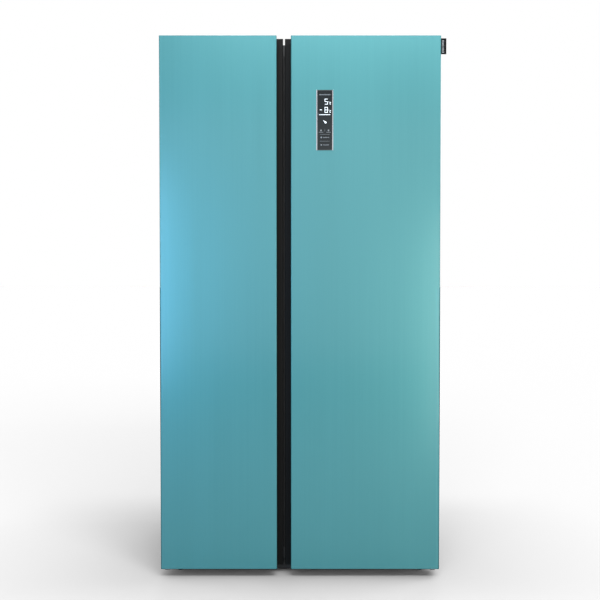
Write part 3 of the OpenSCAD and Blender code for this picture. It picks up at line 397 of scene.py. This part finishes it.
BODY_OF = {name: body for body, names in frame["record"]["behaviour"]["bodies"].items()
           for name in names}
TUBS = [name for name in nodes if "drawer_" in name or "_bin_" in name]


# ------------------------------------------------------------------ mesh helpers

def soften(obj, width, segments=2, angle=35):
    """Breaks the sharp edges of a solid, as a real tool or press does."""
    weld = obj.modifiers.new("weld", "WELD")
    weld.merge_threshold = 0.01 * MM
    flat = obj.modifiers.new("flat", "DECIMATE")
    flat.decimate_type = "DISSOLVE"
    flat.angle_limit = math.radians(0.3)
    bevel = obj.modifiers.new("bevel", "BEVEL")
    bevel.width = width
    bevel.segments = segments
    bevel.limit_method = "ANGLE"
    bevel.angle_limit = math.radians(angle)
    bevel.use_clamp_overlap = False
    bevel.harden_normals = True
    for face in obj.data.polygons:
        face.use_smooth = True
    smooth = obj.modifiers.new("normals", "WEIGHTED_NORMAL")
    smooth.keep_sharp = True
    return obj


def paint(obj, material):
    """Gives an object this one material."""
    obj.data.materials.clear()
    obj.data.materials.append(material)


def solid(name, mesh, material, body, stands_for=()):
    """Makes a piece from a bmesh and puts it on its body."""
    data = bpy.data.meshes.new(name)
    bmesh.ops.recalc_face_normals(mesh, faces=mesh.faces)
    mesh.to_mesh(data)
    mesh.free()
    piece = bpy.data.objects.new(name, data)
    bpy.context.scene.collection.objects.link(piece)
    paint(piece, material)
    for face in data.polygons:
        face.use_smooth = True
    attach(piece, body)
    if stands_for:
        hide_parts(*stands_for)
    return piece


def add_block(mesh, low, high):
    """A block between two corners, its edges ready for a bevel."""
    low, high = Vector(low), Vector(high)
    place = Matrix.Translation((low + high) / 2) @ Matrix.Diagonal((*(high - low), 1))
    bmesh.ops.create_cube(mesh, size=1, matrix=place)


def add_prism(mesh, outline, place, depth):
    """Extrudes an outline in x and y by depth along z, then puts it in place."""
    lower = [mesh.verts.new(place @ Vector((x, y, 0))) for x, y in outline]
    upper = [mesh.verts.new(place @ Vector((x, y, depth))) for x, y in outline]
    mesh.faces.new(lower[::-1])
    mesh.faces.new(upper)
    for i in range(len(outline)):
        j = (i + 1) % len(outline)
        mesh.faces.new((lower[i], lower[j], upper[j], upper[i]))


def add_lathe(mesh, profile, place, steps=32, radius=None):
    """Turns (radius, height) points about z. radius(angle, r) may flute it."""
    rings = []
    for r, z in profile:
        ring = []
        for k in range(steps):
            a = 2 * math.pi * k / steps
            rr = radius(a, r) if radius else r
            ring.append(mesh.verts.new(place @ Vector((rr * math.cos(a), rr * math.sin(a), z))))
        rings.append(ring)
    for a, b in zip(rings, rings[1:]):
        for k in range(steps):
            j = (k + 1) % steps
            mesh.faces.new((a[k], a[j], b[j], b[k]))
    mesh.faces.new(rings[0][::-1])
    mesh.faces.new(rings[-1])


def rounded_outline(width, height, r, steps=5):
    """A rectangle about the origin with round corners, as points."""
    points = []
    for cx, cy, start in ((1, 1, 0), (-1, 1, 90), (-1, -1, 180), (1, -1, 270)):
        for i in range(steps + 1):
            a = math.radians(start + 90 * i / steps)
            points.append((cx * (width / 2 - r) + r * math.cos(a),
                           cy * (height / 2 - r) + r * math.sin(a)))
    return points


def facing_front(x, y, z):
    """A frame whose z points out of the doors, with x to the right and y up."""
    return Matrix.Translation((x, y, z)) @ Matrix.Rotation(math.radians(90), 4, "X")


def facing_back(x, y, z):
    """A frame whose z points out of the back."""
    return Matrix.Translation((x, y, z)) @ Matrix.Rotation(math.radians(-90), 4, "X")


def islands(node):
    """The corners of each separate solid in a CAD node, from the lowest up."""
    mesh = bmesh.new()
    mesh.from_mesh(nodes[node].data)
    bmesh.ops.remove_doubles(mesh, verts=mesh.verts, dist=0.01 * MM)
    left, boxes = set(mesh.verts), []
    while left:
        todo, found = [left.pop()], []
        while todo:
            vert = todo.pop()
            found.append(vert.co.copy())
            for edge in vert.link_edges:
                other = edge.other_vert(vert)
                if other in left:
                    left.discard(other)
                    todo.append(other)
        boxes.append(tuple(Vector(f(p[i] for p in found) for i in range(3)) for f in (min, max)))
    mesh.free()
    return sorted(boxes, key=lambda b: (round(b[0].z, 4), b[0].x))


# ------------------------------------------------------------------ carried-over nodes

# Width of the softened edges in millimetres, where it isn't the usual one
USUAL_BEVEL = 0.4
BEVEL = {
    "freezer_door_panel": 0.35, "fridge_door_panel": 0.35, "cabinet_shell": 0.35,
    "back_panel": 0.3, "bottom_board": 0.3, "mullion_plate": 0.5, "display_glass": 0.35,
    "display_bezel": 0.2, "hinge_covers": 0.8, "control_box_lid": 1.0, "kick_plate": 0.5,
    "freezer_liner": 0.8, "fridge_liner": 0.8, "freezer_door_liner": 0.8,
    "fridge_door_liner": 0.8, "cabinet_foam": 0, "freezer_door_foam": 0, "fridge_door_foam": 0,
    "display_board": 0.15, "condenser": 0, "evaporator": 0, "machine_room_cover": 0.3,
}


def finish_cad_nodes():
    """Materials and softened edges for the CAD nodes; the lamp covers are lit."""
    for slot_name, names in SLOT_OF.items():
        for name in names:
            paint(nodes[name], MATERIALS[slot_name])
            width = BEVEL.get(name, USUAL_BEVEL)
            if width:
                soften(nodes[name], width * MM)
    for name in TUBS:
        paint(nodes[name], MATERIALS["clear_tub"])
        soften(nodes[name], USUAL_BEVEL * MM)
    paint(nodes["lamp_covers"], LAMP)


# ------------------------------------------------------------------ display

# The segments lit for each figure: a on top, then clockwise to f, with g across the middle
SEGMENTS = {"5": "afgcd", "8": "abcdefg", "-": "g"}


def add_bar(mesh, x, z, width, height, y, r=None, thick=0.05 * MM):
    """A flat rounded mark on the glass, centred at x, z."""
    r = min(width, height) * (0.5 if r is None else r)
    outline = rounded_outline(width, height, max(r, 0.02 * MM), 4)
    add_prism(mesh, outline, facing_front(x, y, z), thick)


def add_digit(mesh, mark, x, z, width, height, y):
    """A seven-segment figure whose lower left corner is at x, z."""
    stroke = 0.19 * width
    tall = height / 2 - 0.15 * stroke
    places = {
        "a": (width / 2, height - stroke / 2, 0), "g": (width / 2, height / 2, 0),
        "d": (width / 2, stroke / 2, 0), "f": (stroke / 2, height * 0.75, 1),
        "b": (width - stroke / 2, height * 0.75, 1), "e": (stroke / 2, height * 0.25, 1),
        "c": (width - stroke / 2, height * 0.25, 1),
    }
    for segment in SEGMENTS[mark]:
        dx, dz, upright = places[segment]
        size = (stroke, tall) if upright else (width, stroke)
        add_bar(mesh, x + dx, z + dz, *size, y)


def display_marks():
    """Two temperatures with their marks and an arrow, lit, then key symbols and plain bars for the
    words, which are print with a faint painted glow.
    """
    low, high = corner("display_glass")
    y = low.y + 0.01 * MM
    mid = (low.x + high.x) / 2
    wide = high.x - low.x
    tall = high.z - low.z

    def at(share):
        return high.z - share * tall

    lit = bmesh.new()
    digit_h, digit_w = 0.098 * tall, 0.21 * wide
    right = low.x + 0.70 * wide
    add_digit(lit, "5", right - digit_w, at(0.235), digit_w, digit_h, y)
    add_digit(lit, "8", right - digit_w, at(0.375), digit_w, digit_h, y)
    add_bar(lit, low.x + 0.24 * wide, at(0.325), 0.15 * wide, 0.013 * tall, y)
    for share in (0.235, 0.375):
        ring = low.x + 0.77 * wide
        add_bar(lit, ring, at(share - 0.045), 0.05 * wide, 0.05 * wide, y)
        add_bar(lit, ring + 0.075 * wide, at(share - 0.022), 0.035 * wide, 0.034 * tall, y)
        add_bar(lit, ring + 0.105 * wide, at(share - 0.037), 0.09 * wide, 0.009 * tall, y)
        add_bar(lit, ring + 0.105 * wide, at(share - 0.007), 0.09 * wide, 0.009 * tall, y)
    add_bar(lit, mid, at(0.408), 0.76 * wide, 0.011 * tall, y)
    # the arrow: a slanting shaft that ends in a round head
    for i in range(5):
        t = i / 4
        size = (0.05 + 0.07 * t * t) * wide
        add_bar(lit, mid - (0.08 - 0.14 * t) * wide, at(0.507 + 0.034 * t), size, size, y)
    solid("display_digits", lit, DIGITS, BODY_OF["display_glass"])

    # the words and key symbols are print with a faint painted glow
    faint = bmesh.new()
    word = 0.052 * wide
    for i in range(13):
        height = (0.016, 0.022, 0.018)[i % 3] * tall
        add_bar(faint, mid + (i - 6) * word * 1.12, at(0.068), word * 0.8, height, y, 0.3)
    for side in (-1, 1):
        x = mid + side * 0.25 * wide
        add_bar(faint, x, at(0.675), 0.11 * wide, 0.030 * tall, y)
        add_bar(faint, x, at(0.706), 0.30 * wide, 0.008 * tall, y)
    add_bar(faint, mid, at(0.675), 0.015 * wide, 0.032 * tall, y)
    for share in (0.795, 0.922):
        add_bar(faint, low.x + 0.27 * wide, at(share), 0.11 * wide, 0.026 * tall, y)
        for i in range(6):
            add_bar(faint, low.x + (0.42 + 0.068 * i) * wide, at(share), 0.05 * wide,
                    0.014 * tall, y, 0.3)
    for share in (0.742, 0.858):
        add_bar(faint, mid, at(share), 0.66 * wide, 0.004 * tall, y)
    solid("display_print_painted_glow", faint, FAINT_PAINTED_GLOW, BODY_OF["display_glass"])

    # dark end strips over the bezel, so that only its two long sides show as metal
    ends = bmesh.new()
    rim_low, rim_high = corner("display_bezel")
    for z0, z1 in ((rim_low.z, low.z + 0.6 * MM), (high.z - 0.6 * MM, rim_high.z)):
        add_block(ends, (low.x - 0.2 * MM, rim_low.y - 0.1 * MM, z0),
                  (high.x + 0.2 * MM, low.y + 0.2 * MM, z1))
    strips = solid("display_ends", ends, MATERIALS["dark_trim"], BODY_OF["display_glass"])
    soften(strips, 0.1 * MM)


# ------------------------------------------------------------------ side tab

def side_tab():
    """A stiff woven tab with a rounded outer edge, a flap glued to the door and two rows of stitches."""
    low, high = corner("side_label")
    body = BODY_OF["side_label"]
    tab_t, flap_t, puff_depth, hinge_gap = 1.0 * MM, 0.6 * MM, 0.12 * MM, 5 * MM
    front = low.y
    fold = tab_t / 2
    mesh = bmesh.new()
    steps = 8
    profile = [(low.x, front), (high.x - fold, front)]
    profile += [(high.x - fold + fold * math.sin(math.pi * i / steps),
                 front + fold - fold * math.cos(math.pi * i / steps)) for i in range(1, steps)]
    profile += [(high.x - fold, front + tab_t), (low.x, front + tab_t)]
    levels = 14
    rows = []
    for k in range(levels + 1):
        z = low.z + (high.z - low.z) * k / levels
        puff = puff_depth * math.sin(3 * math.pi * k / levels)
        rows.append([mesh.verts.new((x, y + puff * (x - low.x) / (high.x - low.x), z))
                     for x, y in profile])
    count = len(profile)
    for a, b in zip(rows, rows[1:]):
        for i in range(count):
            j = (i + 1) % count
            mesh.faces.new((a[i], a[j], b[j], b[i]))
    mesh.faces.new(rows[0])
    mesh.faces.new(rows[-1][::-1])
    # the flap stays below the hinge, which it passes when the door is wide open
    flap_top = corner("hinge_covers")[0].z - hinge_gap
    add_block(mesh, (low.x, front + tab_t / 2, low.z + tab_t / 2),
              (low.x + flap_t, high.y, flap_top))
    tab = solid("side_tab", mesh, MATERIALS["label_weave"], body, ["side_label"])
    soften(tab, 0.12 * MM)

    thread = bmesh.new()
    stitch_w, stitch, pitch, end = 1.6 * MM, 2.6 * MM, 4.2 * MM, 6 * MM
    inner, outer = low.x + 4.5 * MM, low.x + 8.5 * MM
    stitched = int((high.z - low.z - 2 * end) / pitch)
    for i in range(stitched + 1):
        z = low.z + end + i * pitch
        for x in (inner, outer):
            add_bar(thread, x, z, stitch_w, stitch, front + 0.05 * MM, thick=0.35 * MM)
    stitches = solid("tab_stitching", thread, THREAD, body)


# ------------------------------------------------------------------ door seals

def seal(node, name):
    """A magnetic seal: a bellows between the door and a flat magnet pocket, mitred at the corners."""
    low, high = corner(node)
    depth = high.y - low.y
    width = 14 * MM
    # across the seal from its outer edge (0) to its inner edge (1), and from the door (0) on
    bellows = [
        (0.10, 0.00), (0.10, 0.14), (0.02, 0.24), (0.00, 0.36), (0.08, 0.45), (0.22, 0.50),
        (0.08, 0.56), (0.00, 0.66), (0.00, 0.92), (0.08, 1.00), (0.92, 1.00), (1.00, 0.92),
        (1.00, 0.66), (0.92, 0.56), (0.78, 0.50), (0.92, 0.45), (1.00, 0.36), (0.98, 0.24),
        (0.90, 0.14), (0.90, 0.00)]
    mesh = bmesh.new()
    rings = []
    for sx, sz in ((0, 0), (1, 0), (1, 1), (0, 1)):
        ring = []
        for across, along in bellows:
            inset = across * width
            x = low.x + inset if sx == 0 else high.x - inset
            z = low.z + inset if sz == 0 else high.z - inset
            ring.append(mesh.verts.new((x, low.y + along * depth, z)))
        rings.append(ring)
    count = len(bellows)
    for k in range(4):
        a, b = rings[k], rings[(k + 1) % 4]
        for i in range(count):
            j = (i + 1) % count
            mesh.faces.new((a[i], a[j], b[j], b[i]))
    piece = solid(name, mesh, MATERIALS["gasket"], BODY_OF[node], [node])
    soften(piece, 0.25 * MM, angle=25)


# ------------------------------------------------------------------ shelves

def shelves(node, name):
    """Glass panes with a moulded rail along the front and the back of each."""
    panes, rails, strips = bmesh.new(), bmesh.new(), bmesh.new()
    glass_t, rail_d, rail_h = 5 * MM, 14 * MM, 14 * MM
    ledge, skin, wall, slack = 9 * MM, 1.6 * MM, 2.8 * MM, 0.1 * MM
    for low, high in islands(node):
        pane_z = low.z + (rail_h - glass_t)
        pane_top = pane_z + glass_t
        add_block(panes, (low.x, low.y + 3 * MM, pane_z), (high.x, high.y - 3 * MM, pane_top))
        left, right = low.x + ledge, high.x - ledge
        across = Matrix(((0, 0, 1, left), (1, 0, 0, 0), (0, 1, 0, 0), (0, 0, 0, 1)))
        # the front rail is a channel under the pane's edge, the back one a stop with a lip over it
        front, back, seat, lip = low.y, high.y, pane_z - slack, pane_top + slack
        front_rail = ((front, low.z), (front + rail_d, low.z), (front + rail_d, low.z + skin),
                      (front + wall, low.z + skin), (front + wall, seat - skin),
                      (front + rail_d, seat - skin), (front + rail_d, seat),
                      (front + wall, seat), (front + wall, pane_top), (front, pane_top))
        back_rail = ((back - wall, pane_z), (back, pane_z), (back, high.z), (back - wall, high.z),
                     (back - wall, lip + skin), (back - rail_d, lip + skin),
                     (back - rail_d, lip), (back - wall, lip))
        for outline in (front_rail, back_rail):
            add_prism(rails, outline, across, right - left)
        add_block(strips, (left + 6 * MM, front - 0.25 * MM, low.z + 4 * MM),
                  (right - 6 * MM, front + 0.6 * MM, low.z + 8.5 * MM))
    body = BODY_OF[node]
    soften(solid(name + "_panes", panes, MATERIALS["shelf_glass"], body, [node]),
           0.7 * MM, 3)
    soften(solid(name + "_rails", rails, MATERIALS["white_trim"], body, [node]),
           0.4 * MM)
    soften(solid(name + "_strips", strips, CHROME, body), 0.2 * MM)


# ------------------------------------------------------------------ tub trims

def tub_trims():
    """A pale band with a bright line on each drawer front and each bin front."""
    for name in TUBS:
        low, high = corner(name)
        mesh, line = bmesh.new(), bmesh.new()
        if "drawer_" in name:
            y = low.y
            z0, z1 = high.z - 66 * MM, high.z - 52 * MM
            edge = 14 * MM
            add_block(mesh, (low.x + edge, y - 0.6 * MM, z0), (high.x - edge, y + 1.5 * MM, z1))
            add_block(line, (low.x + edge, y - 0.9 * MM, z0 + 5 * MM),
                      (high.x - edge, y, z0 + 7 * MM))
        else:
            y = high.y
            z0, z1 = high.z - 40 * MM, high.z - 18 * MM
            edge = 34 * MM
            add_block(mesh, (low.x + edge, y - 1.5 * MM, z0), (high.x - edge, y + 0.6 * MM, z1))
            add_block(line, (low.x + edge, y - 1 * MM, z0 + 9 * MM),
                      (high.x - edge, y + 0.9 * MM, z0 + 11 * MM))
        body = BODY_OF[name]
        soften(solid(name + "_band", mesh, MATERIALS["white_trim"], body), 0.5 * MM)
        soften(solid(name + "_line", line, CHROME, body), 0.15 * MM)


# ------------------------------------------------------------------ screws

def add_screw(mesh, place, r=4.0 * MM):
    """A pan head with a cross recess, standing on z = 0 of place."""
    dome = [(r, -0.2 * MM), (r, 0.5 * MM), (0.93 * r, 1.1 * MM), (0.75 * r, 1.6 * MM),
            (0.45 * r, 1.9 * MM)]
    add_lathe(mesh, dome, place, 28)
    arm, width = 0.62 * r, 0.2 * r
    recess = Matrix.Translation((0, 0, 1.86 * MM))
    for turn in (0, 90):
        spin = place @ Matrix.Rotation(math.radians(turn), 4, "Z") @ recess
        add_prism(mesh, rounded_outline(2 * arm, width, width / 2.2, 3), spin, 0.12 * MM)


def screws():
    """Screws of the machine room cover, back panel, lid, hinge covers and bottom hinges."""
    cabinet = BODY_OF["cabinet_shell"]
    back = bmesh.new()
    low, high = corner("machine_room_cover")
    for i in range(7):
        x = low.x + 14 * MM + (high.x - low.x - 28 * MM) * i / 6
        for z in (low.z + 7 * MM, high.z - 7 * MM):
            add_screw(back, facing_back(x, high.y, z), 3.6 * MM)
    panel_low, panel_high = corner("back_panel")
    sheet_y = cabinet_high.y
    for side in (panel_low.x + 12 * MM, panel_high.x - 12 * MM):
        for i in range(6):
            z = high.z + 60 * MM + (panel_high.z - high.z - 90 * MM) * i / 5
            add_screw(back, facing_back(side, sheet_y, z), 3.6 * MM)
    solid("back_screws", back, MATERIALS["hinge_steel"], cabinet)

    top = bmesh.new()
    low, high = corner("control_box_lid")
    flange_z = low.z + 2.5 * MM
    for x in (low.x + 8 * MM, (low.x + high.x) / 2, high.x - 8 * MM):
        for y in (low.y + 8 * MM, high.y - 8 * MM):
            add_screw(top, Matrix.Translation((x, y, flange_z)), 3.4 * MM)
    for low, high in islands("hinge_covers"):
        mid = (low.x + high.x) / 2
        add_screw(top, facing_back(mid, high.y, low.z + 8 * MM), 3.2 * MM)
    solid("roof_screws", top, MATERIALS["hinge_steel"], cabinet)

    plate = bmesh.new()
    for low, high in islands("bottom_hinges"):
        mid = (low.x + high.x) / 2
        for x in (mid - 24 * MM, mid + 24 * MM):
            for y in (cabinet_low.y + 20 * MM, cabinet_low.y + 62 * MM):
                place = Matrix.Translation((x, y, cabinet_low.z - 4 * MM))
                add_screw(plate, place @ Matrix.Rotation(math.pi, 4, "X"), 3.6 * MM)
    solid("hinge_screws", plate, MATERIALS["hinge_steel"], cabinet)


# ------------------------------------------------------------------ feet

def foot(node, name):
    """A fluted hand wheel, flat beneath, with a threaded stud."""
    low, high = corner(node)
    mid = Vector(((low.x + high.x) / 2, (low.y + high.y) / 2, 0))
    r = (high.x - low.x) / 2
    mesh = bmesh.new()
    place = Matrix.Translation(mid)

    def fluted(angle, radius):
        return radius - (0.05 * r * (0.5 - 0.5 * math.cos(16 * angle)) if radius > 0.9 * r else 0)

    wheel = [(0.55 * r, 0), (0.86 * r, 0), (0.94 * r, 0.6 * MM), (r, 2.2 * MM), (r, 8.4 * MM),
             (0.95 * r, 9.2 * MM), (0.7 * r, 9.6 * MM), (0.66 * r, 12 * MM), (0.4 * r, 12.2 * MM)]
    add_lathe(mesh, wheel, place, 96, fluted)
    stud_r, pitch = 5 * MM, 1.5 * MM
    turns = int((high.z - 13 * MM) / pitch)
    thread = [(0.9 * stud_r, 12 * MM)]
    for i in range(turns):
        z = 12.4 * MM + i * pitch
        thread += [(0.84 * stud_r, z), (0.99 * stud_r, z + pitch / 2)]
    thread += [(0.84 * stud_r, high.z - 0.5 * MM), (0.6 * stud_r, high.z)]
    add_lathe(mesh, thread, place, 32)
    solid(name, mesh, MATERIALS["foot_plastic"], BODY_OF[node], [node])


# ------------------------------------------------------------------ pipes

def pipe(name, points, r):
    """A bent copper pipe through points, with rounded bends."""
    curve = bpy.data.curves.new(name, "CURVE")
    curve.dimensions = "3D"
    curve.bevel_depth = r
    curve.bevel_resolution = 5
    curve.use_fill_caps = True
    curve.resolution_u = 8
    spline = curve.splines.new("BEZIER")
    spline.bezier_points.add(len(points) - 1)
    for knot, point in zip(spline.bezier_points, points):
        knot.co = point
        knot.handle_left_type = knot.handle_right_type = "AUTO"
    piece = bpy.data.objects.new(name, curve)
    bpy.context.scene.collection.objects.link(piece)
    curve.materials.append(COPPER)
    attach(piece, BODY_OF["compressor"])


def machine_pipes():
    """Discharge and suction pipes between the compressor and the condenser."""
    low, high = corner("compressor")
    coil_high = corner("condenser")[1]
    mid = (low.y + high.y) / 2
    top = high.z
    for name, y, z in (("discharge_pipe", mid - 38 * MM, top + 8 * MM),
                       ("suction_pipe", mid + 40 * MM, top + 16 * MM)):
        start = Vector((low.x + 40 * MM, y, top - 40 * MM))
        pipe(name, [start, start + Vector((-16 * MM, 0, 22 * MM)),
                    Vector((low.x - 14 * MM, y, z)),
                    Vector((coil_high.x + 12 * MM, y, z)),
                    Vector((coil_high.x - 20 * MM, y * 0.6 + 0.4 * mid, coil_high.z))], 3 * MM)


# ------------------------------------------------------------------ studio

def add_light(name, place, target, size, power, colour=(1, 1, 1)):
    """A rectangular lamp at place that points at target."""
    data = bpy.data.lights.new(name, "AREA")
    data.shape = "RECTANGLE"
    data.size, data.size_y = size
    data.energy = power
    data.color = colour
    light = bpy.data.objects.new(name, data)
    bpy.context.scene.collection.objects.link(light)
    light.location = place
    direction = Vector(target) - Vector(place)
    light.rotation_euler = direction.to_track_quat("-Z", "Y").to_euler()


def make_world(shown, lighting):
    """White behind the object, and a softer white as light."""
    world = bpy.data.worlds.new("studio")
    bpy.context.scene.world = world
    world.use_nodes = True
    tree = world.node_tree
    tree.nodes.clear()
    ray = tree.nodes.new("ShaderNodeLightPath")
    both = tree.nodes.new("ShaderNodeMixShader")
    out = tree.nodes.new("ShaderNodeOutputWorld")
    for strength, socket in ((lighting, 1), (shown, 2)):
        background = tree.nodes.new("ShaderNodeBackground")
        background.inputs["Color"].default_value = (1, 1, 1, 1)
        background.inputs["Strength"].default_value = strength
        tree.links.new(background.outputs[0], both.inputs[socket])
    tree.links.new(ray.outputs["Is Camera Ray"], both.inputs[0])
    tree.links.new(both.outputs[0], out.inputs["Surface"])


def make_floor():
    """A plain pale floor that shows as the shadows that lie on it."""
    n = Nodes("studio_floor")
    colour = n.blend(n.noise(3), (0.34, 0.34, 0.34), (0.36, 0.36, 0.36))
    n.finish(colour, n.span(n.noise(30), 0.7, 0.8))
    mesh = bpy.data.meshes.new("floor")
    far = 60
    mesh.from_pydata([(-far, -far, 0), (far, -far, 0), (far, far, 0), (-far, far, 0)], [],
                     [(0, 1, 2, 3)])
    floor = bpy.data.objects.new("floor", mesh)
    bpy.context.scene.collection.objects.link(floor)
    floor.data.materials.append(n.material)
    floor.is_shadow_catcher = True


def make_studio():
    """Plain pale surroundings, with soft lamps whose reflections lie along the doors' edges."""
    bpy.context.scene.view_settings.view_transform = "Standard"
    make_world(1.0, 0.32)
    make_floor()
    front = FRONT
    add_light("overhead", (0.6, front - 2.7, 3.5), (0.05, front, 1.2), (2.8, 1.4), 92)
    add_light("ceiling", (0, front + 0.3, 4.2), (0, front + 0.3, 0), (1.2, 0.5), 38)
    add_light("front_fill", (0, front - 4.5, 1.3), (0, front, 1.3), (3.0, 2.0), 12)
    add_light("left_window", (-1.19, front - 2.6, 0.97), (-1.19, front, 0.97), (0.62, 1.25), 20,
              (0.28, 0.60, 1.0))
    add_light("right_window", (1.18, front - 2.6, 0.62), (1.18, front, 0.62), (0.5, 1.45), 14.5,
              (0.95, 1.0, 0.85))
    for name, x, power in (("left_fill", -1.7, 4), ("right_fill", 1.7, 11)):
        add_light(name, (x, 0.15, 1.7), (x * 0.4, -0.1, 0.1), (0.9, 0.9), power)
    add_light("back_fill", (0.3, 3.2, 2.2), (0, 0.3, 0.9), (3.0, 2.0), 20)


# ------------------------------------------------------------------ the object

finish_cad_nodes()
display_marks()
side_tab()
seal("freezer_door_gasket", "freezer_door_seal")
seal("fridge_door_gasket", "fridge_door_seal")
shelves("freezer_shelves", "freezer_shelf")
shelves("fridge_shelves", "fridge_shelf")
tub_trims()
screws()
foot("levelling_foot_left", "foot_wheel_left")
foot("levelling_foot_right", "foot_wheel_right")
machine_pipes()
make_studio()
